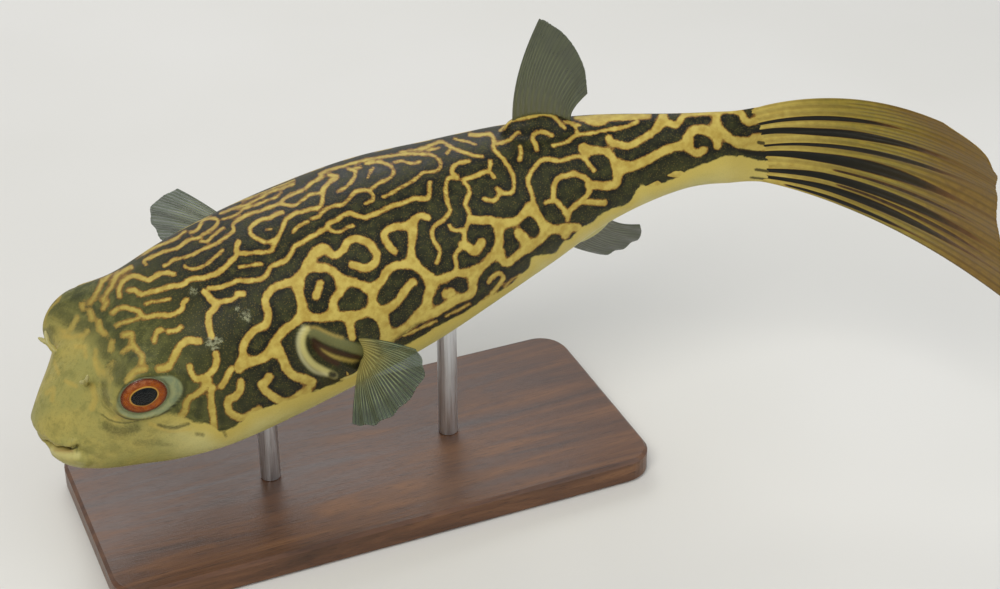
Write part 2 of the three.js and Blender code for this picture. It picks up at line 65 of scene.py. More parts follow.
# The body's cross-sections: top x, z; side x, half width, z; bottom x, z; and how square the section is
SECTIONS = np.array([
    (-0.0075, 0.0235, 0.012, 0.048, 0.0235, -0.0075, 0.0205, 2.2),
    (-0.01, 0.031, 0.012, 0.052, 0.0225, -0.007, 0.013, 2.2),
    (-0.0085, 0.043, 0.015, 0.057, 0.02, -0.001, -0.004, 2.2),
    (0.002, 0.056, 0.026, 0.0635, 0.019, 0.013, -0.028, 2.2),
    (0.022, 0.073, 0.045, 0.074, 0.024, 0.042, -0.048, 2.25),
    (0.05, 0.09, 0.074, 0.091, 0.032, 0.083, -0.065, 2.3),
    (0.085, 0.108, 0.105, 0.108, 0.038, 0.12, -0.078, 2.4),
    (0.145, 0.131, 0.155, 0.125, 0.042, 0.165, -0.091, 2.4),
    (0.215, 0.151, 0.215, 0.136, 0.042, 0.215, -0.1015, 2.3),
    (0.3, 0.162, 0.3, 0.139, 0.038, 0.3, -0.1105, 2.15),
    (0.4, 0.164, 0.4, 0.137, 0.034, 0.4, -0.11, 2.1),
    (0.5, 0.158, 0.5, 0.128, 0.03, 0.5, -0.105, 2.1),
    (0.6, 0.139, 0.6, 0.11, 0.026, 0.6, -0.092, 2.1),
    (0.7, 0.123, 0.7, 0.088, 0.022, 0.7, -0.072, 2.1),
    (0.8, 0.104, 0.8, 0.062, 0.018, 0.8, -0.042, 2.1),
    (0.9, 0.08, 0.9, 0.038, 0.013, 0.9, -0.03, 2.1),
    (0.97, 0.068, 0.97, 0.024, 0.008, 0.97, -0.043, 2.1),
    (1.02, 0.065, 1.02, 0.012, 0.004, 1.02, -0.058, 2.1),
])
BROW = {"centre": (0.114, 0.108, 0.092), "direction": (0.02, 0.8, 0.6), "height": 0.033, "reach": 0.051}

# Fleshy lobes that carry the fins: centre, radii and tip of an ellipsoid on the straight fish
LOBES = [
    ((0.731, 0, 0.119), (0.044, 0.018, 0.02), math.radians(-17)),
    ((0.757, 0, -0.054), (0.042, 0.017, 0.02), math.radians(14)),
    ((0.376, 0.131, 0.008), (0.03, 0.014, 0.037), math.radians(-12)),
    ((0.362, -0.134, 0.006), (0.024, 0.02, 0.036), math.radians(-8)),
]
LOBE_FILLET = 0.012
LOBE_STEPS, LOBE_RATE = 16, 0.9  # how the skin is moved out to the lobes

# Camera: the picture's view
CAMERA_AZIMUTH = math.radians(-23.49)
CAMERA_ELEVATION = math.radians(32.05)
CAMERA_DISTANCE = 0.86855
CAMERA_TARGET = np.array([0.0595, -0.0261, 0.0973])
CAMERA_FOV = math.radians(28)
IMAGE_WIDTH, IMAGE_HEIGHT = 1000, 589
MM_PER_PIXEL = 0.42  # at the fish
SEEN = 0.02  # how squarely a vertex faces the camera, at least, where the picture shows it

SIDES = ((1, "left"), (-1, "right"))


# ---- Small helpers ------------------------------------------------------------------------------------

def smooth(start, end, value):
    share = np.clip((np.asarray(value, float) - start) / (end - start), 0, 1)
    return share * share * (3 - 2 * share)


def within(start, end, value):
    """1 below start, falling smoothly to 0 at end."""
    return 1 - smooth(start, end, value)


def bell(value, middle, spread):
    """1 at the middle, and near 0 from two spreads away."""
    return np.exp(-(((value - middle) / spread) ** 2))


def mix(a, b, share):
    return a + (b - a) * share


def unit(vector):
    vector = np.asarray(vector, float)
    return vector / np.linalg.norm(vector, axis=-1, keepdims=True)


def on_side(vector, side):
    """A place or direction of the left side (side 1) as it is on that side or the right one (side -1)."""
    return np.multiply(vector, (1, side, 1))


def split(points):
    return np.moveaxis(np.asarray(points, float), -1, 0)


def spline(rows, t):
    """Catmull-Rom through rows of numbers with the ends reflected, at every t."""
    rows = np.asarray(rows, float)
    last = len(rows) - 1
    padded = np.vstack([2 * rows[0] - rows[1], rows, 2 * rows[-1] - rows[-2]])
    t = np.asarray(t, float)
    i = np.clip(np.floor(t).astype(int), 0, last - 1)
    f = (t - i)[..., None]
    p0, p1, p2, p3 = padded[i], padded[i + 1], padded[i + 2], padded[i + 3]
    return 0.5 * (
        2 * p1
        + (p2 - p0) * f
        + (2 * p0 - 5 * p1 + 4 * p2 - p3) * f**2
        + (3 * p1 - p0 - 3 * p2 + p3) * f**3
    )


def smoothed(points, steps=4):
    """The curve through a few points, with that many steps between each and the next."""
    return spline(points, np.linspace(0, len(points) - 1, steps * (len(points) - 1) + 1))


# ---- From the straight fish to the frame --------------------------------------------------------------

SPINE_START, SPINE_STEP, SPINE_COUNT = -0.1, 0.002, 800


def heading(x):
    return TAIL_TURN * smooth(*TAIL_TURN_SPAN, x) - HEAD_TURN * within(*HEAD_TURN_SPAN, x)


def spine_table():
    stations = SPINE_START + SPINE_STEP * np.arange(SPINE_COUNT)
    middle = heading(stations[1:] - SPINE_STEP / 2)
    steps = SPINE_STEP * np.stack([np.cos(middle), np.sin(middle)], -1)
    places = np.vstack([[SPINE_START, 0], [SPINE_START, 0] + np.cumsum(steps, 0)])
    fixed = places[round((STRAIGHT_AT - SPINE_START) / SPINE_STEP)]
    return stations, places - fixed + [STRAIGHT_AT, 0]


SPINE_STATIONS, SPINE_PLACES = spine_table()


def bend(points):
    x, y, z = split(points)
    turn = heading(x)
    spine_x, spine_y = (np.interp(x, SPINE_STATIONS, column) for column in SPINE_PLACES.T)
    return np.stack([spine_x - np.sin(turn) * y, spine_y + np.cos(turn) * y, z], -1)


def pose(points):
    x, y, z = split(points)
    along = x - BALANCE_AT
    flat = along * math.cos(NOSE_DOWN) - z * math.sin(NOSE_DOWN)
    height = along * math.sin(NOSE_DOWN) + z * math.cos(NOSE_DOWN)
    low = np.array([0, 0, BALANCE_HEIGHT])
    return STANDARD_LENGTH * np.stack([flat, -y, height], -1) + low


def place(points):
    return pose(bend(points))


# ---- The camera's frame -------------------------------------------------------------------------------

def camera_axes():
    a, e = CAMERA_AZIMUTH, CAMERA_ELEVATION
    back = np.array([math.sin(a) * math.cos(e), -math.cos(a) * math.cos(e), math.sin(e)])
    right = np.array([math.cos(a), math.sin(a), 0])
    return right, np.cross(back, right), back


CAMERA_RIGHT, CAMERA_UP, CAMERA_BACK = camera_axes()
CAMERA_PLACE = CAMERA_TARGET + CAMERA_DISTANCE * CAMERA_BACK


def picture(points):
    """Where points of the frame are in the picture, in pixels."""
    ray = points - CAMERA_PLACE
    depth = -(ray @ CAMERA_BACK)
    focal = IMAGE_WIDTH / 2 / math.tan(CAMERA_FOV / 2)
    across = IMAGE_WIDTH / 2 + focal * (ray @ CAMERA_RIGHT) / depth
    down = IMAGE_HEIGHT / 2 - focal * (ray @ CAMERA_UP) / depth
    return np.stack([across, down], -1)


# ---- Meshes -------------------------------------------------------------------------------------------

def grid_normals(points, closed):
    """Outward normals of a grid of points whose columns run round it."""
    along = np.gradient(points, axis=0)
    around = (np.roll(points, -1, 1) - np.roll(points, 1, 1)) if closed else np.gradient(points, axis=1)
    return unit(np.cross(around, along) + 1e-12)


def make_piece(name, points, faces, uvs, attributes, material, replaced=()):
    """A smooth mesh on the body root. uvs has one row for each corner of each face."""
    mesh = bpy.data.meshes.new(name)
    mesh.from_pydata(points.reshape(-1, 3).tolist(), [], faces)
    mesh.polygons.foreach_set("use_smooth", np.ones(len(mesh.polygons), bool))
    layer = mesh.uv_layers.new(name="OFBake")
    layer.data.foreach_set("uv", np.asarray(uvs, np.float32).ravel())
    for key, values in attributes.items():
        attribute = mesh.attributes.new(key, "FLOAT", "POINT")
        attribute.data.foreach_set("value", np.asarray(values, np.float32).ravel())
    mesh.materials.append(material)
    mesh.validate()
    piece = bpy.data.objects.new(name, mesh)
    bpy.context.scene.collection.objects.link(piece)
    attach(piece, "root")
    if replaced:
        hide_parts(*replaced)
    return piece


def grid_faces(rows, columns, closed, start=0, flip=False):
    """Quads of a grid and their UV corners, with the grid's rows along u and columns along v."""
    faces = []
    corners = []
    wide = columns if closed else columns - 1
    order = ((1, 0), (1, 1), (0, 1), (0, 0)) if flip else ((0, 0), (0, 1), (1, 1), (1, 0))
    for row in range(rows - 1):
        for column in range(wide):
            quad = [(row + down, column + across) for down, across in order]
            faces.append(tuple(start + r * columns + c % columns for r, c in quad))
            corners += [(r / (rows - 1), c / wide) for r, c in quad]
    return faces, corners


# ---- The skin's form ----------------------------------------------------------------------------------

RINGS = 460
MOUTH_RINGS = 7  # more rings, that line the mouth
MOUTH_DEPTH = np.array([0.03, 0.0, 0.021])  # where the lining of the mouth ends
HEAD_BACK, HEAD_BLEND = 0.41, 0.03  # in front of this station the rings are closer together
HEAD_RING_STEP, BODY_RING_STEP = 0.62, 0.92  # mm, in proportion
RING_SAMPLES, RING_ANGLE = 4000, math.radians(60)  # the rings are spaced out along a line at this angle
SIDE_COLUMNS = 180  # over the back and flanks, out to LOWER_EDGE either way
LOWER_COLUMNS = 32
LOWER_EDGE = math.radians(130)

EYE_SOCKET = np.array([0.106, 0.119, 0.0845])  # the middle of the eye at the skin
EYE_AXIS = unit([-0.31, 0.95, 0.05])
EYE_RADIUS = 11.0  # mm, of the clear dome, along the head
EYE_SQUASH = 0.8  # its height against its length
# The socket's bowl and rim, in mm: radii, heights, how fast the rim falls away, and how far off it acts
EYE_RIM = {
    "inner": 10.4, "crest": 12.2, "outer": 12.6, "blend": 19.0,
    "edge": -1.0, "bowl": 5.5, "deepest": -8, "height": 0.1, "fall": 0.09, "near": 16,
}
EYE_FOLD = {"depth": 0.8, "radius": 15.0, "width": 0.9}  # mm, of the groove round the rim

# Small forms of the head: heights and widths in mm, and stations in sections back from the mouth
LIP_RIDGE = {"height": 0.8, "station": 0.42, "spread": 0.3}
LIP_GROOVE = {"height": -0.45, "station": 1.15, "spread": 0.28}
MOUTH_CREASE = [(0.0147, 0.0558, 0.0245), (0.0235, 0.0605, 0.014), (0.031, 0.061, 0.0005)]
CREASE_DEPTH, CREASE_WIDTH, CREASE_SHALLOWING = 0.9, 1.3, 0.7
CREASE_FOLD = {"height": 0.5, "off": 3.2, "width": 1.8}
NOSTRIL, NOSTRIL_HEIGHT, NOSTRIL_WIDTH = (0.062, 0.043, 0.09), 1.1, 3.4

TAIL_ROOT_THINNING = 0.88  # how much of its thickness the flesh loses into the tail fin
TAIL_ROOT_SPAN = (0.955, 1.02)


def body_points(t, angle):
    """The body's plain surface: t counts sections from the mouth, angle turns from the top to the left."""
    top_x, top_z, side_x, half, side_z, low_x, low_z, square = split(spline(SECTIONS, t))
    power = 2 / square
    rise = np.sign(np.cos(angle)) * np.abs(np.cos(angle)) ** power
    reach = np.sign(np.sin(angle)) * np.abs(np.sin(angle)) ** power
    over, under = np.maximum(rise, 0), np.maximum(-rise, 0)
    points = np.stack([
        side_x + (top_x - side_x) * over**2 + (low_x - side_x) * under**2,
        half * reach,
        side_z + (top_z - side_z) * over + (low_z - side_z) * under,
    ], -1)
    shift = np.zeros_like(points)
    for side, _ in SIDES:
        distance = np.linalg.norm(points - on_side(BROW["centre"], side), axis=-1)
        lift = BROW["height"] * bell(distance, 0, BROW["reach"])[..., None]
        shift += lift * on_side(BROW["direction"], side)
    return points + shift


def ring_stations():
    """Where the rings stand, so that they are even along the body and closer on the head."""
    fine = np.linspace(0, len(SECTIONS) - 1, RING_SAMPLES)
    line = body_points(fine, np.full_like(fine, RING_ANGLE))
    steps = np.linalg.norm(np.diff(line, axis=0), axis=-1)
    behind = smooth(HEAD_BACK - HEAD_BLEND, HEAD_BACK + HEAD_BLEND, line[1:, 0])
    count = np.concatenate([[0], np.cumsum(steps / mix(HEAD_RING_STEP, BODY_RING_STEP, behind))])
    return np.interp(np.linspace(0, count[-1], RINGS), count, fine)


def column_angles():
    lower = np.linspace(LOWER_EDGE, math.pi, LOWER_COLUMNS // 2, endpoint=False)
    sides = np.linspace(-LOWER_EDGE, LOWER_EDGE, SIDE_COLUMNS, endpoint=False)
    lower_right = np.linspace(-math.pi, -LOWER_EDGE, LOWER_COLUMNS // 2, endpoint=False)
    return np.concatenate([lower_right, sides, lower])


def soft_union(a, b, width):
    share = np.clip(0.5 + 0.5 * (b - a) / width, 0, 1)
    return mix(b, a, share) - width * share * (1 - share)


def ellipsoid_distance(points, centre, radii, tip):
    x, y, z = split(points - centre)
    local = np.stack([x * math.cos(tip) + z * math.sin(tip), y, z * math.cos(tip) - x * math.sin(tip)], -1)
    near = np.linalg.norm(local / radii, axis=-1)
    slope = np.linalg.norm(local / np.square(radii), axis=-1) + 1e-9
    return near * (near - 1) / slope


def raise_lobes(points, normals):
    """How far the skin moves out along its normals until it wraps the lobes that carry the fins."""
    out = np.zeros(points.shape[:-1])
    for _ in range(LOBE_STEPS):
        there = points + out[..., None] * normals
        field = out.copy()
        for centre, radii, tip in LOBES:
            field = soft_union(field, ellipsoid_distance(there, centre, np.array(radii), tip), LOBE_FILLET)
        out = out - field * LOBE_RATE
    return out


def eye_frame(side):
    centre, axis = on_side(EYE_SOCKET, side), on_side(EYE_AXIS, side)
    rear = unit(np.array([1.0, 0, 0]) - axis * axis[0])
    upward = np.cross(axis, rear) * side
    return centre, axis, rear, -upward if upward[2] < 0 else upward


def eye_polar(points, side):
    """Height over the eye's rim plane, and places towards its rear and its top, in mm."""
    centre, axis, rear, upward = eye_frame(side)
    offset = (points - centre) / ONE_MM
    return offset @ axis, offset @ rear, offset @ upward


def sink_eyes(points):
    rim, fold = EYE_RIM, EYE_FOLD
    for side, _ in SIDES:
        height, back, up = eye_polar(points, side)
        radius = np.hypot(back, up / EYE_SQUASH)
        near = np.abs(height) < rim["near"]
        bowl = rim["edge"] - rim["bowl"] * (1 - np.clip(radius / EYE_RADIUS, 0, 1) ** 2)
        ridge = rim["height"] - rim["fall"] * np.maximum(radius - rim["crest"], 0) ** 2
        lip = mix(bowl, ridge, smooth(rim["inner"], rim["crest"], radius))
        share = within(rim["outer"], rim["blend"], radius) * near
        groove = fold["depth"] * bell(radius, fold["radius"], fold["width"]) * near
        shift = (np.maximum(lip, rim["deepest"]) - height) * share - groove
        points = points + (shift * ONE_MM)[..., None] * on_side(EYE_AXIS, side)
    return points


def line_distance(points, line, side):
    """Distance in mm from a line through a few places, and the share of it at the nearest place."""
    line = on_side(smoothed(line, 8), side)
    best = np.full(points.shape[:-1], 1e3)
    share = np.zeros(points.shape[:-1])
    for i, (a, b) in enumerate(zip(line[:-1], line[1:])):
        along = np.clip(((points - a) @ (b - a)) / ((b - a) @ (b - a)), 0, 1)
        distance = np.linalg.norm(points - (a + along[..., None] * (b - a)), axis=-1) / ONE_MM
        nearer = distance < best
        best = np.where(nearer, distance, best)
        share = np.where(nearer, (i + along) / (len(line) - 1), share)
    return best, share


def head_relief(points, t):
    """How far the skin stands out from the plain body in mm: lips, mouth creases and nostrils."""
    forms = (LIP_RIDGE, LIP_GROOVE)
    lips = sum(form["height"] * bell(t, form["station"], form["spread"]) for form in forms)
    out = lips * smooth(-0.02, 0.0, t)
    for side, _ in SIDES:
        own = np.sign(points[..., 1]) == side
        crease, share = line_distance(points, MOUTH_CREASE, side)
        out -= CREASE_DEPTH * bell(crease, 0, CREASE_WIDTH) * (1 - CREASE_SHALLOWING * share) * own
        folded = CREASE_FOLD["height"] * bell(crease, CREASE_FOLD["off"], CREASE_FOLD["width"])
        out += folded * own * (1 - share)
        nostril = np.linalg.norm(points - on_side(NOSTRIL, side), axis=-1) / ONE_MM
        out += NOSTRIL_HEIGHT * bell(nostril, 0, NOSTRIL_WIDTH)
    return out


def outward_normals(points):
    normals = grid_normals(points, True)
    outward = (normals * (points - points.mean(1, keepdims=True))).sum()
    return normals if outward > 0 else -normals


def plain_form():
    """The plain body on a grid of rings and columns, with each ring's station in sections."""
    t = ring_stations()[:, None] * np.ones(len(column_angles()))
    return t, body_points(t, column_angles()[None, :] * np.ones_like(t))


def seen_from_camera(points):
    """Each point's pixel, and how squarely the surface faces the camera there."""
    return picture(points), (outward_normals(points) * unit(CAMERA_PLACE - points)).sum(-1)


SKIN_T, PLAIN = plain_form()
PLAIN_PIXELS, FACING = seen_from_camera(place(PLAIN))


# ---- Markings drawn from the picture, in its pixels ---------------------------------------------------

# Light lines on the dark ground: each has its width and the points that it passes through
HEAD_LINES = [
    (3.5, [(119.5, 296), (119, 291), (121, 284), (125, 279.5), (132, 276), (136.5, 276), (142.5, 278.5),
           (148, 280),
           (154, 277.5), (159.5, 274), (167, 272.5), (174, 274)]),
    (3.5, [(129, 290.5), (135.5, 290), (139.5, 294.5), (146, 293), (156, 290.5), (163.5, 288.5),
           (171, 286.5),
           (178.5, 285.5), (184.5, 284), (188, 280.5), (194, 278.5), (201.5, 278), (209.5, 276),
           (216, 273.5),
           (221, 270.5), (226.5, 265.5), (231.5, 260.5), (236, 256), (236.6, 252.4), (236.6, 246.7),
           (238.5, 241.9)]),
    (3.5, [(112.5, 313), (117.5, 309), (123, 307.5), (131, 309), (138.5, 311), (142.5, 316), (148, 317),
           (155.5, 315.5), (163.5, 315), (171, 315), (178, 312), (182.5, 309), (183, 303), (186.5, 299.5)]),
    (2, [(145.5, 304), (151, 302), (160, 301), (170, 299)]),
    (2.5, [(116.5, 326), (122.5, 323), (131, 320.5), (138, 318.5)]),
    (3, [(103, 299.5), (109, 290), (112.5, 284), (116.5, 276.5), (122, 272), (131, 267)]),
    (3, [(90, 303), (95, 296), (99, 288), (102, 281)]),
    (3, [(106, 278.5), (111, 272.5), (116, 269)]),
    (3, [(81.6, 301), (83, 309)]),
    (4, [(90.5, 311.5), (91.5, 318)]),
    (4, [(99.3, 321.5), (100.2, 329), (105, 334)]),
    (2.5, [(66.5, 335), (73.6, 324), (77, 318)]),
    (2.5, [(77.5, 345), (87, 331)]),
    (2.5, [(103, 309), (107, 302)]),
    (4, [(123, 335.5), (131.5, 334), (132, 342), (137.5, 350.5), (142, 356), (142, 363)]),
    (2.5, [(123, 351.7), (131, 346.3)]),
    (4, [(145, 369), (136, 371), (130.5, 376), (127, 382)]),
    (3.5, [(112, 342), (110.5, 350)]),
    (4, [(154, 341), (156.5, 333), (161, 329.5)]),
    (3.5, [(169, 331.5), (176, 330.5), (181, 327)]),
    (6, [(159.5, 369), (168, 367), (172, 361), (176, 352), (181, 345), (187, 341), (193, 340), (199, 341)]),
    (5, [(204.5, 292), (209.3, 297.5), (215, 304), (214.5, 308), (209.3, 314), (208.4, 321.5),
         (209.3, 329), (212, 336)]),
    (3.5, [(217, 303), (225, 301), (233, 299), (238, 294)]),
    (5, [(215.6, 353.5), (216.8, 362.5), (213, 370), (205.4, 376.5), (196.4, 379), (191.3, 372.7),
         (189.5, 366.3)]),
    (5, [(209, 379), (204.5, 387), (196.4, 394.3), (190, 398), (186, 404), (185, 411), (181, 417)]),
    (5.5, [(212, 388), (211, 396), (211.5, 406), (213, 416), (214, 428)]),
    (5, [(232, 368.8), (228.3, 374), (224.5, 381.6), (221.5, 386)]),
    (6, [(241, 381.6), (240.5, 389), (236.5, 395.6), (229.5, 399.5), (227.6, 405.8), (231.4, 414),
         (241.4, 417.8), (250, 415), (259, 409)]),
    (4, [(85, 368), (88.5, 362), (95, 362), (100, 368)]),
    (3.5, [(113, 363), (108.5, 371), (110, 379)]),
]

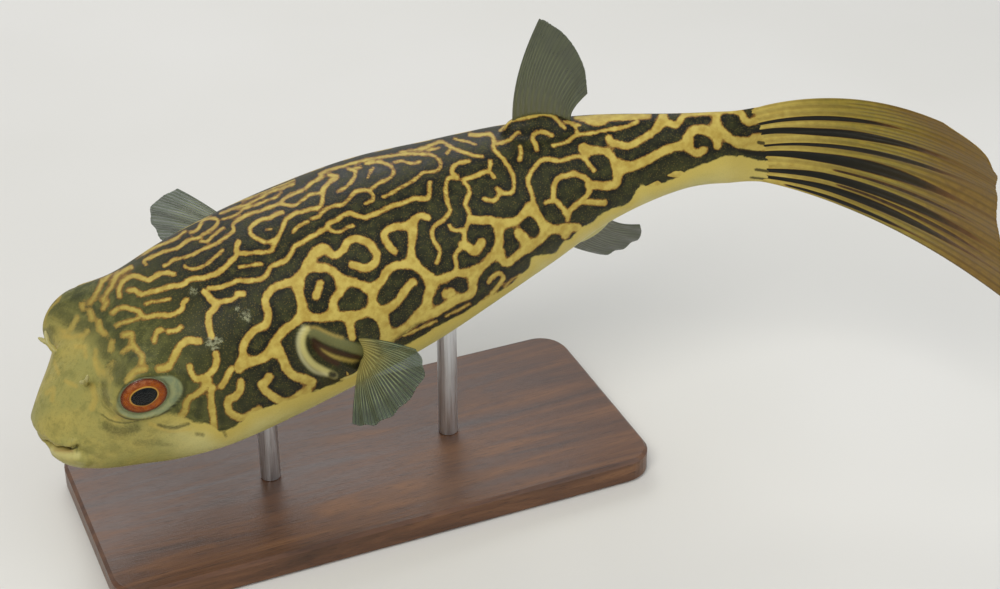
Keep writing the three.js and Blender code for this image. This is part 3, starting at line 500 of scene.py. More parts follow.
BACK_LINES = [
    (2.4, [(398, 353), (412, 346)]),
    (2.2, [(424, 337), (432, 331), (446, 324)]),
    (2.2, [(452, 323), (462, 315), (471, 312)]),
    (2.2, [(478, 304), (487, 297), (497, 293)]),
    (2.2, [(505, 287), (513, 279), (521, 275)]),
    # This pale line along the head's top edge is partly a marking and partly a painted highlight on that
    # edge.
    (3.2, [(135, 257.8), (143.5, 253.5), (152.7, 248.5), (160.4, 245), (168.8, 242), (175.8, 238.5),
           (180, 235), (185, 231.5)]),
    (3.5, [(145.6, 264.2), (144.2, 260.6), (149.9, 257.8), (155.5, 255), (161.1, 252.9), (168.8, 250.1),
           (175.8, 248.7),
           (180.7, 245.9), (184.9, 242.4), (189.9, 239.6), (195.5, 238.2), (200, 237.5)]),
    (3.5, [(163.9, 265.6), (168.8, 263.4), (173, 259.9), (178.6, 258.5), (184.9, 257.1), (191.3, 254.7),
           (196.9, 252.2),
           (202.5, 249.4), (209.5, 246.6), (216.5, 243.4), (222.1, 239.6), (227, 236.1), (231.3, 232.6),
           (233.6, 229.8),
           (232.7, 225), (236, 221.5), (241.4, 218), (248.1, 214.2), (257.7, 211.8), (265.3, 209),
           (273, 206),
           (280.6, 203), (283.5, 199.5), (289.2, 196), (297.8, 192.2), (304.5, 189.3), (309.3, 184.5),
           (315, 180.5),
           (323, 177)]),
    (3.2, [(184.9, 266.3), (189.2, 268.4), (194.8, 268.7), (200.4, 267.3), (206, 264.9), (210.2, 261.3),
           (214.4, 257.1),
           (218.6, 253.6), (222.8, 250.1)]),
    (3.2, [(190.6, 232.6), (194.8, 231.2), (198.3, 228.7), (200.4, 223.8), (203.9, 219.9), (209.5, 218.5),
           (215.1, 218.5),
           (217.9, 222), (215.1, 226.3), (210.9, 229.8), (206, 232.6), (202.5, 234)]),
    (3, [(200.4, 241), (206.7, 241.4), (213.7, 235.4), (219.3, 230.5), (223.5, 227.7)]),
    (2.6, [(220.7, 213.4), (227, 210.8), (233.7, 208.4), (239.5, 206.5), (246.2, 205), (251.9, 202.4),
           (256.7, 199.6),
           (262.4, 196.8), (268.2, 193.1), (273, 191), (280, 189), (286.4, 186.2), (294, 184.5)]),
    (2.6, [(222.8, 219.2), (229.9, 217.2), (236.2, 214.6), (241, 211.5), (244.3, 208.6), (253.8, 205.5),
           (261.5, 202.8),
           (269.1, 199.8), (276.8, 196.5), (281, 192.6)]),
    (2.4, [(242.4, 200.8), (251.9, 196.9), (261.5, 192.6), (271, 188.4), (282, 184.4), (294, 180.2)]),
    (3, [(280.6, 203.2), (286.4, 205), (294, 205.5), (301.7, 200.7), (309.3, 195), (318, 193.2),
         (323, 192)]),
    (4.2, [(236.6, 253.4), (248.1, 253.4), (255.7, 252.4), (263.4, 252.4), (271.1, 250.5), (274, 245.7),
           (276, 240),
           (280.6, 232.3), (283.5, 225.6), (285.4, 219.9), (289.2, 217), (295.9, 213.2), (302.6, 211.3),
           (311.2, 208.9),
           (318.9, 207), (321.8, 202.7), (322.7, 196.9), (322.7, 190.2), (326.2, 185.4), (331, 180.7),
           (337.7, 176.8),
           (329, 174.6)]),
    (4, [(276, 239), (270, 241.5), (264.4, 241.9), (257.7, 239), (251, 234.3), (250.5, 228.5),
         (255.7, 222.8),
         (262.4, 219), (270, 217.6), (275.8, 214.2), (282, 212)]),
    (2.5, [(266, 229.5), (271, 229)]),
    (3.2, [(239.5, 266.8), (248, 265.8), (257.7, 263.9), (261.5, 264)]),
    (3.2, [(293, 231.4), (299.8, 225.6), (307.4, 221.8)]),
    (3.4, [(312.2, 218), (319, 216.5), (322.7, 212), (328, 208), (335.8, 205.5), (341.5, 204.8),
           (347.3, 200.7),
           (351.1, 196), (354.9, 192.1), (361.6, 190.2), (369.3, 190.2), (374, 187), (379.8, 182.6),
           (386.5, 179.7),
           (392.2, 175.9), (393.6, 170.5), (390.3, 165.8), (384.6, 163.2), (378.8, 162), (373.1, 162.4),
           (366.4, 163.4)]),
    (3.2, [(370.5, 191), (373.6, 196), (372, 200.5), (365.5, 203.6)]),
    (4.6, [(208.4, 288), (219, 287.5), (230.4, 284), (237.5, 280.4), (248, 280.8), (255.7, 280.2),
           (263.4, 277.6),
           (268.6, 270.6), (272, 266), (280.6, 262.6), (286.4, 259.6), (291.2, 253.4), (294, 246.7),
           (302.6, 241.9),
           (309.3, 238.1), (318.9, 232.3), (326.6, 228), (329.4, 223.2), (336.7, 219.9), (344.4, 214.6),
           (352, 213.2),
           (357.8, 216), (364.5, 217.6), (369.3, 216), (376.9, 213.2), (384.6, 209.4), (392.2, 205.9),
           (400.8, 203.6),
           (408.5, 200.7), (415.2, 198.3), (420.9, 198.8), (427, 198.4), (429.7, 193.5), (429.3, 187.5),
           (430.3, 182.6)]),
    (3.2, [(329, 229.5), (336, 232), (342.5, 230.8), (347.3, 227.5), (353, 225.6)]),
    (3, [(319.5, 174.4), (329, 170), (338.6, 167.3), (348.2, 164.6), (357.8, 161.8), (367.4, 159.4),
         (376.9, 157.6),
         (386.5, 156.4), (396, 155), (405.6, 154), (415.2, 153.9), (424.8, 154.1), (432.4, 155.3),
         (438.2, 158.6),
         (440.8, 163.4), (439.8, 168.2), (434.3, 171.4), (427.6, 172), (421.9, 173), (418, 176.8),
         (412.3, 180.7),
         (405.6, 184.5), (398.9, 188.3), (392.2, 193), (386.5, 195.8), (382.7, 196.5)]),
    (2.8, [(394.1, 162.3), (400.8, 161), (407.5, 162.5), (414.2, 163.4), (420, 161.5)]),
    (3.2, [(348.2, 168.4), (354.5, 170.5), (355, 175.9), (351, 182.2), (344.4, 187.9), (337.7, 191.6)]),
    (2.6, [(354, 168.6), (361, 167.1)]),
    (3, [(372.6, 168), (370.2, 172), (368, 177.4)]),
    (4.2, [(457, 177), (449.6, 178.2), (446.4, 183), (445.8, 189.3), (446.2, 196.9), (447.7, 203.7),
           (449.9, 209.4), (448.2, 214.5), (443, 220.4), (436.4, 224.6), (432.4, 229.5), (432, 235),
           (434, 241),
           (437.9, 246.8), (440.2, 252.3), (438.4, 258.1), (436.7, 262.6)]),
    (4, [(457.3, 177.4), (452.2, 172.5), (453.2, 167), (458, 163.2), (463, 162), (468.8, 161.6)]),
    (4.4, [(490.3, 161.4), (490.2, 166), (488.5, 170.6), (483.5, 172.6), (475.9, 175.5), (469.2, 178.4),
           (463.6, 180.4),
           (467.8, 185.8), (469.8, 192), (467.4, 198.3), (465, 204.5), (467.5, 209), (469.6, 213.5),
           (470, 218.6),
           (467.6, 223.6), (465, 229.5), (464.4, 235), (464.2, 240.5), (462.5, 246), (459, 250),
           (455.8, 253.8),
           (455.1, 259), (456.4, 265), (455.6, 270.5)]),
    (3.4, [(490.5, 172.5), (494, 177)]),
    (3.6, [(449.4, 225.2), (451.4, 229), (456, 230.2), (460.6, 229.9), (464.6, 232)]),
    (3.4, [(421, 149), (429, 146), (436.3, 142.8), (442, 141.6), (447.4, 145), (453.5, 148.2),
           (460.2, 150.8),
           (466.9, 152.9), (473, 155.2), (479.7, 156.4), (482.6, 156)]),
    (2.4, [(400.8, 152), (410.4, 150.3), (421, 148.6)]),
    (2.4, [(426, 150.2), (432.5, 149), (439, 148)]),
    (2.8, [(451, 147.8), (446.8, 153.3)]),
    (2.4, [(453.9, 138.4), (460.6, 140.4), (468.2, 142), (475.9, 144.9)]),
    (4, [(470.1, 134.6), (477.8, 135.1), (484.5, 134.2), (490.2, 134), (493, 138), (493.6, 143),
         (494, 148.5),
         (497.9, 153.7), (502.7, 158.1), (506.5, 163.8), (510.3, 169.6), (513.4, 175.3), (514, 183),
         (513.6, 189),
         (510.8, 192.8), (505.5, 193.3), (500.9, 191.8), (498.4, 195.4), (495.4, 199.8), (490.2, 200.4),
         (484, 198.4)]),
    (4.6, [(497.4, 188.4), (500.4, 191.4)]),
    (3.6, [(496, 143.7), (502.7, 142.3), (509.4, 139.9), (514.1, 135.6), (519.4, 132.4)]),
    (3.8, [(500.7, 130.3), (505, 126.5), (508.4, 121.9), (516, 119.6), (525.6, 117.5), (534.2, 115.8),
           (543.8, 114.2),
           (551.8, 115.9), (557.2, 119.8), (561.4, 125), (564.6, 127.8)]),
    (4.6, [(520.2, 147.2), (521.2, 152.3), (519.7, 159.6)]),
    (4.2, [(536.8, 149.8), (536, 144.7), (532.9, 139.6), (533.8, 134.8), (538.8, 132), (545.7, 132.5),
           (551.6, 135.6)]),
    (3.6, [(553.4, 145.4), (560.1, 144), (567.7, 141.6), (573.5, 137), (579.2, 134.4), (591.3, 133.2),
           (600.2, 131.2),
           (607.4, 130.1), (614.5, 128.8), (621.6, 127.4), (627.6, 126), (632.4, 123.6), (637.2, 121.4),
           (636.6, 118.2)]),
    (3.2, [(564.9, 121.9), (571, 122.7), (575, 126.5), (576.8, 131.5)]),
    (2.8, [(573, 123.6), (579.5, 125.3)]),
    (4.6, [(529.5, 210), (532.6, 200.2), (530.8, 190.6), (528.1, 183.9), (528.3, 177.6), (531.8, 171.3),
           (536.2, 165.7),
           (540.4, 161.4), (546.2, 159.2), (553.4, 160.3), (561, 160.7), (567.7, 158.9), (573.5, 156.6),
           (579.6, 156.4),
           (584.4, 157.9), (588.2, 162.9), (591.6, 167.4), (593.6, 170.4)]),
    (5.4, [(553.2, 199), (553.4, 190.6), (555.5, 182), (560.3, 177), (566.7, 175.4), (573.3, 173.6),
           (579.6, 175.6),
           (585.4, 178.4), (588.9, 182.6), (589.2, 189.6), (586.6, 195.6), (581.8, 200.4), (576.4, 204.4),
           (570.9, 209.6), (567.5, 213.8), (563.4, 209), (558.4, 203.5), (553.2, 199)]),
    (4.4, [(567.5, 212.5), (567.5, 219.5)]),
    (4.4, [(545.4, 202.6), (551, 200.8)]),
    (4.4, [(489, 282), (493.5, 276), (500, 273.5), (503.5, 278), (498.5, 286), (492, 293)]),
    (2.6, [(404, 336), (420, 328.5), (436, 321)]),
    (2.2, [(446, 316), (458, 310), (470, 304)]),
]

FLANK_LINES = [
    (6, [(319, 250.5), (313.6, 254.6), (310.4, 260), (306.6, 266.4), (303, 272.3), (299.8, 277.4),
         (298, 284),
         (298.7, 290.5), (300.3, 297.5), (302.4, 306), (301.6, 314.5), (296.6, 321), (289.4, 326.4),
         (282.7, 332),
         (277.5, 337.4), (275, 342.4), (275.4, 349)]),
    (5, [(319, 250.5), (323.7, 248.2), (328.5, 250.8), (332.3, 254.8), (336.6, 254.9), (341, 251.5),
         (343.8, 248.4),
         (346, 243.4), (350.6, 240), (356.4, 238.6), (362.4, 240.2),
         (368.5, 243), (373, 248), (376.5, 255), (374.5, 262.5), (367.5, 267.5), (359, 267),
         (352.5, 264.5)]),
    (4, [(238, 294), (243, 293.5)]),
    (5, [(298.4, 281.6), (292, 282), (283.5, 283.8), (275.4, 287), (269.3, 292.5), (265.3, 299.5),
         (266.3, 306.5),
         (268.4, 312), (267.6, 319.5), (264.8, 325), (258.6, 328.4), (253.8, 331), (249.8, 335.2),
         (246, 340.4),
         (243.4, 347), (243.4, 355), (242, 362.5), (238.6, 369.4)]),
    (5.2, [(309.6, 265.2), (313.4, 267.2), (318.9, 267.6), (325, 267.8), (331.8, 270.6), (337.8, 275.8),
           (341.7, 281.8),
           (342.3, 287.8), (339.4, 293.4), (335.5, 297.6), (333.2, 302.5), (333.2, 309), (330.6, 315),
           (323, 317.6),
           (313, 317.6), (303.2, 316)]),
    (4.8, [(320.6, 283), (318.4, 289), (316.4, 296)]),
    (5.4, [(341.5, 282.2), (348, 281.7), (355, 282.4), (362, 285.5), (369.5, 288.3), (376.2, 286.2),
           (382, 280.4),
           (385.4, 274.2), (389.4, 268.6), (396, 265.6), (403.6, 264.4), (409.6, 263.6), (413.2, 263.6),
           (418, 267.2),
           (423.3, 271.8), (428.1, 276.5), (431.4, 280.8), (437, 280.4), (443.4, 278.2), (451, 275.3),
           (457, 272.8),
           (463.5, 273), (470.2, 272), (475.9, 270.8), (480.7, 267.2), (487.4, 261.4), (493.2, 255.8),
           (497.4, 250.8),
           (499.3, 245), (499.4, 238), (499.2, 230.3), (500, 223.8)]),
    (5.4, [(371.4, 289.8), (372.4, 296), (372.9, 303), (375, 309.4), (380, 312), (386.5, 309.8),
           (392.5, 305.4),
           (398.6, 300.4), (402.8, 293.6), (407.6, 287.4), (412.6, 282.6)]),
    (5.2, [(332, 315.6), (341.5, 316.2), (350, 316.4), (358, 315), (366, 312.2), (374.6, 311)]),
    (5, [(350, 317), (350.5, 327), (352, 337)]),
    (8.6, [(376.4, 313.2), (381.8, 319), (384.8, 326), (386, 334), (386.6, 341)]),
    (6.6, [(429.6, 279), (430.6, 287.8), (428.6, 295), (427.6, 301), (425.6, 307), (419.5, 314.1),
           (415.4, 320),
           (409.7, 325.2), (403.4, 330), (396.3, 334), (389.5, 338.6)]),
    (5.8, [(475.2, 271.5), (474.3, 278.2), (472.6, 283.9), (472.8, 288.7), (469.8, 294.1), (463.5, 297.5),
           (455.8, 300.4), (449.1, 304.2), (441.5, 309), (434.6, 313.4), (426.6, 316.2), (418, 318.4)]),
    (5, [(445.6, 293.6), (451.4, 292.4)]),
    (6.6, [(274.8, 350), (269, 353.4), (262.6, 357.8), (255, 360.6), (248.6, 362.2), (241, 364.4)]),
    (6.4, [(275.6, 349.4), (280.6, 354.6), (284.8, 363.7), (288.8, 371.6), (296, 376.5), (304, 378.6),
           (312, 382)]),
    (5.6, [(269, 377), (265.4, 382), (261.4, 385), (266.6, 392), (274, 397.4), (283, 401.6), (292, 400.4),
           (299.5, 395.4), (308, 391)]),
    (4.6, [(394.4, 250.6), (390.4, 247), (386, 241), (384.4, 234.6), (387.9, 229.6), (395.6, 226.8),
           (404.2, 225.8),
           (411.4, 227.3), (413, 233.2), (411.7, 240.9), (411.1, 249.5), (411, 256), (412.6, 262.9)]),
    (4.2, [(411.6, 227.5), (413.6, 221.4), (417.6, 216.6), (423, 215.8), (427.4, 218)]),
    (6, [(462.6, 244.6), (469, 247.6), (473.8, 251.4), (478.6, 248), (481.6, 242.4)]),
    (5.4, [(470.2, 219), (477.8, 220.3), (486.5, 220), (493.2, 221), (499.9, 222.9), (506.6, 223),
           (512, 222.4),
           (517.6, 219.2), (522.6, 215.2), (527.6, 210.8), (531.8, 206.6)]),
    (5.2, [(530.6, 206.6), (536.2, 213.8), (540.3, 219.6), (543.4, 224.6), (545.9, 229), (544.4, 234.6),
           (539.8, 239.4),
           (534, 244.2), (527.3, 249), (520.6, 252.8), (514.9, 257.4), (509.2, 261.8), (505, 262.8),
           (501.6, 258),
           (498.6, 252)]),
    (6, [(519, 233.2), (521.8, 236)]),
    (4.6, [(523.8, 239.2), (527.6, 243.4)]),
    (5, [(546.2, 228.6), (554.1, 229.3), (562.8, 228.5), (570.4, 227.7), (578, 227)]),
    (4, [(565.6, 229.5), (565.6, 236)]),
    (3.4, [(585, 201.6), (594.3, 202.4), (604.5, 203)]),
    (6, [(589.4, 184.6), (592.6, 184.7), (600.2, 185.5), (607.4, 185.5), (614.6, 184.4), (617, 179.4),
         (617.6, 172.7),
         (617.6, 167)]),
    (6.4, [(622, 167), (629.7, 166.4), (635.9, 165.2), (643.1, 162.1), (650.2, 158.1), (657.4, 154.1),
           (664.5, 150.7),
           (671.6, 148.1), (679.7, 145.7), (686.3, 142.3), (688.4, 136.4), (691.6, 131.6), (697, 129.6),
           (704, 130),
           (710, 131.6), (716, 131.4), (721.6, 132), (726, 135.4), (731.4, 139.6), (738, 141.6),
           (746, 142), (756, 140)]),
    (4.6, [(583.6, 148.3), (589.5, 149.7), (598.4, 150.4), (605.6, 151.6), (610.5, 155.4), (614.1, 160.4),
           (617.6, 165.6), (622, 167)]),
    (4.4, [(583.9, 148.6), (585.7, 153.1), (584.8, 157.3)]),
    (2.6, [(589.5, 116.9), (595.8, 115), (604.7, 114.2), (614.5, 114), (625.2, 113.2), (632.4, 112.4),
           (640.4, 112)]),
    (2.6, [(586.4, 118), (592.2, 121.8), (599.3, 123.2), (604.7, 120.9), (610.9, 118.5), (619.9, 117.5),
           (628.8, 117),
           (636.4, 117.3), (642.4, 116.5), (648.4, 115.4)]),
    (2.4, [(576.3, 117.4), (583, 116.7), (589.5, 117.7)]),
    (4.6, [(609.1, 137.9), (611.8, 141.8), (618.1, 144.1), (625.2, 145.7), (632.4, 144.6), (638.6, 141.3),
           (644.9, 137.7), (650.2, 134.1), (655.2, 130.4), (659.1, 125.4), (661.8, 120.4), (663, 115.6),
           (664, 111.6)]),
    (3.8, [(662.7, 121.2), (669, 123), (674.3, 125), (679.2, 121.8), (682.4, 116.9), (686.8, 114.1),
           (694, 113.3),
           (704.5, 112.7), (712, 111)]),
    (4.8, [(688, 142), (689.7, 148), (693.6, 152.1), (699.6, 152.9), (703.4, 149.9)]),
    (4, [(715.6, 132.6), (716.4, 139.1), (717.4, 146.4)]),
    (4.8, [(715.6, 131), (716.4, 124), (716.6, 117), (719, 111.7), (725, 109.9), (731, 110), (737.4, 111),
           (741.6, 114.4),
           (744.6, 119.4), (749.6, 122.4), (755.6, 120.2), (762, 119.4), (770, 120)]),
    (6, [(756, 140), (764, 138), (772, 137.6), (781, 138)]),
    (2.4, [(740, 145.5), (750, 147.6), (760, 148.4), (770, 149.6), (781, 151)]),
    (9, [(760, 108), (770, 112), (781, 112)]),
    (4, [(771, 120), (772.5, 126), (781, 127)]),
]

# The pale cheek and belly's upper border, from the tail fin's root forward to the snout, and round the eye
PALE_BORDER = [
    (781, 162), (766, 160.8), (755, 159.6), (749, 157), (742, 156), (734, 156), (724, 156), (717, 158.8),
    (709, 162.4),
    (700, 165), (689.5, 169.5), (678.8, 176.3), (671.6, 179), (662.7, 183.4), (653.8, 187), (644.9, 185.2),
    (640.4, 183.4), (637.7, 188.8), (634.2, 194.1), (629.5, 202.7), (618.3, 206.5), (607.7, 210.3),
    (598.2, 216.1),
    (592.4, 222.8), (582.8, 226.6), (576.1, 232.3), (571.4, 239), (563.7, 241), (559.9, 246.7),
    (554.1, 253.4),
    (546.5, 254.4), (536.9, 255.3), (530.2, 257.2), (530.2, 265.8), (525.4, 270.6), (519.7, 274.5),
    (511, 284),
    (500.8, 290.6), (489.3, 296.4), (479.8, 302), (465, 312), (450, 320), (436, 327), (422, 336), (410, 343),
    (400, 347), (385, 353), (362, 371), (345, 380), (330, 385), (314, 391), (299.5, 396), (283, 402),
    (262, 409),
    (250, 414), (243, 420), (236, 425), (228, 430), (220, 431), (214, 427), (207, 423), (198, 423),
    (190, 420),
    (183, 416), (170, 414), (150, 418), (130, 415), (113, 402), (104, 388), (96, 372), (91, 352),
    (84, 335), (70, 318), (50, 300),
]
PALE_CLOSING = [(0, 280), (0, 588), (999, 588), (999, 168)]  # pixels round the picture's foot
# Soft dark marks on the head and pale belly, and the ends of the tail fin's stripes: each has its width,
# strength and points. Those under the eye, in the mouth's slit and at its corner are painted shade.
DARK_MARKS = [
    (8, 0.5, [(104, 382), (105, 394), (109, 404)]),
    (16, 0.5, [(103, 341), (106, 354)]),
    (17, 0.56, [(113, 365), (120, 372), (121, 381)]),
    (15, 0.6, [(119, 339), (122, 346)]),
    (12, 0.62, [(126, 358), (133, 354)]),
    (9, 0.55, [(106, 325), (114, 329), (122, 326)]),
    (8, 0.5, [(118, 315), (127, 313), (137, 315)]),
    (9, 0.36, [(137, 443), (158, 442)]),
    (9, 0.6, [(200, 401), (199.5, 408), (197, 415)]),
    (7, 0.6, [(221, 399), (221, 410), (222, 422)]),
    (8, 0.5, [(240, 403), (244, 408)]),
    (10, 0.5, [(179, 371), (187, 377)]),
    (14, 0.45, [(199, 357), (200, 368)]),
    (14, 0.35, [(160, 345), (168, 353)]),
    # These three marks under the eye are painted shade below its bulge.
    (11, 0.52, [(106, 426), (115, 430.5), (124, 431), (136, 428)]),
    (2.4, 0.6, [(101, 414), (111, 420.5), (124, 423), (138, 421)]),
    (8, 0.34, [(110, 434), (118, 437), (126, 434)]),
    # These two marks are painted shade: in the mouth's slit and in the crease at its corner.
    (2, 1.0, [(47, 441.4), (52, 446), (58, 448.2), (66, 448.8), (73, 448.5), (77, 447.2)]),
    (1.6, 0.5, [(76.6, 442), (77.4, 448), (76.8, 453)]),
    (4, 0.5, [(222, 428), (226, 436)]),
    (4, 0.62, [(158, 424.5), (166, 427), (176, 427.5), (188.8, 423.7)]),
    (5, 0.5, [(196.5, 434), (203, 435)]),
    (4.5, 0.35, [(150.5, 444), (171, 444.5)]),
    (4, 0.5, [(391.5, 343), (397.3, 338.3), (404, 333.4), (410, 328.9), (417, 324.4), (425.9, 321.7)]),
    (4, 0.5, [(434, 319.6), (441, 317), (448, 312.4), (455, 308.4), (462, 304), (469.5, 300.6), (477, 299)]),
    (5, 1.0, [(758, 130), (767, 131.5), (778, 133)]),
    (3.4, 1.0, [(758.5, 142.5), (768, 144), (778, 146)]),
    (4.6, 1.0, [(740, 150.5), (752, 152.5), (764, 154.5), (778, 157)]),
    (3, 0.9, [(756, 169.5), (766, 171), (778, 173.5)]),
    (2.6, 0.8, [(751, 177.5), (764, 179), (778, 182)]),
]
# The lips' forms at the slit of the mouth: width, how far it stands out in mm, and points
MOUTH_FORMS = [
    (2.6, -1.7, [(45, 440), (52, 446), (58, 448.2), (66, 448.8), (73, 448.5), (77, 447.2)]),
    (4.5, 0.6, [(47, 437), (56, 441.5), (66, 443.2), (75, 442)]),
    (11, 1.7, [(54, 452.5), (61, 456.5), (71, 458.5), (84, 461)]),
    (2, -0.6, [(77, 442), (77.6, 448), (77, 453)]),
]
LOWER_LIP = (7, [(53, 450.5), (59, 453.6), (68, 455), (77, 455.5)])
SLIT_RED = (2.6, [(55, 449.6), (62, 451), (72, 450.8)])
# Faint warm spots and streaks on the snout
SNOUT_SPOTS = [
    (6, [(57, 313), (60, 321)]), (3, [(74, 326), (66, 338)]), (3.4, [(86, 331), (77, 343)]),
         (4, [(84, 344), (86, 357)]),
    (5, [(66, 354), (73, 356)]), (4, [(96, 350), (95, 362), (99, 374)]), (5, [(103, 372), (110, 377)]),
    (4, [(83, 299), (82, 307)]), (3, [(84, 291), (92, 287)]), (4, [(54, 388), (52, 400)]), (4, [(66, 381),
         (76, 386)]),
    (6, [(92, 386), (95, 398), (92, 408)]), (5, [(116, 418), (124, 415)]), (3, [(150, 424), (170, 431),
         (190, 429)]),
]
# Scuffed patches on the head: the middle and the radius
SCUFFS = [((213, 343), 11), ((219, 340), 7), ((246, 316), 9), ((238, 309), 5), ((193, 291), 6)]

# Forms round the gill and the pectoral root, in the picture's pixels: a field's name, its width, how far it
# stands out in mm, and its points. The right side follows the left.
GILL_FORMS = [
    ("gill_pale", 6.6, 1.7, [(306.5, 329), (302.6, 337), (302.4, 347), (306.5, 356.5), (313.5, 364.5),
                             (322.5, 370),
                             (334, 375.5)]),
    ("gill_band", 11, 1.2, [(314, 334), (324, 337.5), (336, 342), (348, 346), (360, 350)]),
    # The gill slit's two strokes carry painted shade in the fold as well as its groove.
    ("gill_slit_shade", 4.6, -1.9, [(313.5, 340), (320, 345), (329, 349.6), (340, 353), (350, 356), (358, 357)]),
    ("gill_slit_shade", 5.5, -1.5, [(314.5, 345), (320.5, 353), (328.5, 359), (337, 363.5)]),
    ("gill_ridge", 4.4, 0.8, [(322, 350), (332, 356), (344, 359), (356, 361)]),
    ("gill_ridge", 2.4, 0.5, [(308, 327.6), (316, 327.6), (325, 331.6), (334, 335.4), (343, 338)]),
    ("gill_spot", 7, -0.4, [(357.5, 365), (358.5, 366.5)]),
    ("gill_spot", 6.5, -0.3, [(331.5, 374.5), (334, 375)]),
]
# A painted highlight along the raised gill flap's rim: its width and points
GILL_RIM_HIGHLIGHT = (
    2.6,
    [(303.5, 328), (298.9, 336), (298.2, 346), (301.2, 356.5), (307, 365), (315, 371.6), (326.5, 375)],
)

# Each set of light lines, the pixels that a line is wider than its bright core, and how roundly lines join
LINE_SETS = ((HEAD_LINES, 2.2, 1.6), (BACK_LINES, 0.6, 0.8), (FLANK_LINES, 3.2, 2.8))
LINE_REACH = 24  # pixels
BORDER_REACH = 60  # pixels
FAR_LIP_SHARE = 0.4  # how far the lips stand out on the right side, against the left
LIP_SEEN = -0.4  # the lips' strokes also reach vertices that face a little away from the camera


def segment_distance(points, line, reach):
    """Pixels from each of points to a line of points, up to reach."""
    best = np.full(len(points), float(reach))
    for a, b in zip(line[:-1], line[1:]):
        low, high = np.minimum(a, b) - reach, np.maximum(a, b) + reach
        near = np.flatnonzero(((points > low) & (points < high)).all(-1))
        if not len(near):
            continue
        offset = points[near] - a
        along = np.clip(offset @ (b - a) / max((b - a) @ (b - a), 1e-9), 0, 1)
        distance = np.linalg.norm(offset - along[:, None] * (b - a), axis=-1)
        best[near] = np.minimum(best[near], distance)
    return best


def pixel_field(pixels, strokes, reach=LINE_REACH, fillet=0.5, seen=SEEN):
    """Pixels from the nearest edge of any stroke, below 0 inside it, at every vertex.

    Strokes that meet merge.

    Vertices that face the camera less than seen keep the full reach.
    """
    visible = (FACING > seen).ravel()
    points = pixels.reshape(-1, 2)[visible]
    total = np.zeros(len(points))
    for width, line in strokes:
        edge = segment_distance(points, smoothed(line), reach) - width / 2
        total += np.where(edge < reach - width / 2 - 0.1, np.exp(-edge / fillet), 0)
    field = np.full(visible.shape, float(reach))
    field[visible] = np.minimum(reach, -fillet * np.log(np.maximum(total, 1e-30)))
    return field.reshape(FACING.shape)


def inside_outline(points, outline):
    """Whether each pixel is inside a closed outline, by counting the edges that it passes."""
    x, y = points[..., 0], points[..., 1]
    inside = np.zeros(x.shape, bool)
    for (ax, ay), (bx, by) in zip(outline, outline[1:] + outline[:1]):
        crosses = (ay > y) != (by > y)
        at = ax + (y - ay) * (bx - ax) / (by - ay if by != ay else 1e-9)
        inside ^= crosses & (x < at)
    return inside


def mirror_sides(values):
    """The left half's values copied onto the right half."""
    columns = values.shape[1]
    opposite = (columns - np.arange(columns)) % columns
    return np.where((np.arange(columns) >= columns // 2)[None, :], values, values[:, opposite])


def blur(values, steps):
    for _ in range(steps):
        values = (np.roll(values, 1, 1) + 2 * values + np.roll(values, -1, 1)) / 4
        values[1:-1] = (values[:-2] + 2 * values[1:-1] + values[2:]) / 4
    return values


# ---- The unseen markings: a labyrinth on the unrolled skin --------------------------------------------

PLANE = 512
PLANE_CELL = 0.65  # mm
LABYRINTH_SEED = 7
LABYRINTH_STEPS = 26
LABYRINTH_GAIN, LABYRINTH_BIAS = 1.6, 0.12  # how hard the two tones part, and how much darker the whole is
LABYRINTH_PEAK = 0.97  # of the field, at the middle of a line or cell
BAND_WIDTH = 0.24
FIRST_RING_AT = 6  # mm along the plane
MIDDLE_COLUMNS = 50  # on either side of the back's midline, whose mean is the line that is measured along
# Wavelengths in mm, and how much longer than broad waves are, on the back, flank, low flank and tail stalk
WAVES = ((5.6, 2.6), (8.2, 1.15), (10.8, 1.0), (7.4, 2.0))
# Shares of the half girth, from the back's midline, over which back, flank and line widths change
BACK_SPAN, LOW_SPAN, WIDTH_SPAN = (0.12, 0.42), (0.4, 0.62), (0.1, 0.6)
STALK_SPAN = (0.55, 0.75)  # stations
LINE_WIDTHS = (1.5, 2.5)  # mm, on the back and low down
KNOWN_TONE = (0.5, 1.1)  # mm: the edge of a line and its softness, where the labyrinth meets the drawn lines


def unrolled():
    """Each skin vertex's place on the unrolled skin, in mm: along it, and round it from the midline."""
    columns = PLAIN.shape[1]
    top = columns // 2
    steps = np.linalg.norm(np.diff(PLAIN, axis=1), axis=-1) / ONE_MM
    round_it = np.concatenate([np.zeros((len(PLAIN), 1)), np.cumsum(steps, 1)], 1)
    round_it -= round_it[:, top : top + 1]
    middle = PLAIN[:, top - MIDDLE_COLUMNS : top + MIDDLE_COLUMNS + 1].mean(1)
    steps = np.linalg.norm(np.diff(middle, axis=0), axis=-1) / ONE_MM
    along = np.concatenate([[0], np.cumsum(steps)]) + FIRST_RING_AT
    return along[:, None] * np.ones(columns), round_it


ALONG, ROUND = unrolled()
ACROSS_PLANE = (np.arange(PLANE) - PLANE / 2) * PLANE_CELL


def to_plane(values):
    """Skin values on the square plane's grid."""
    rings = np.interp(np.arange(PLANE) * PLANE_CELL, ALONG[:, 0], np.arange(len(ALONG)))
    rings = np.clip(np.round(rings).astype(int), 0, len(ALONG) - 1)
    return np.stack([np.interp(ACROSS_PLANE, ROUND[r], values[r]) for r in rings])


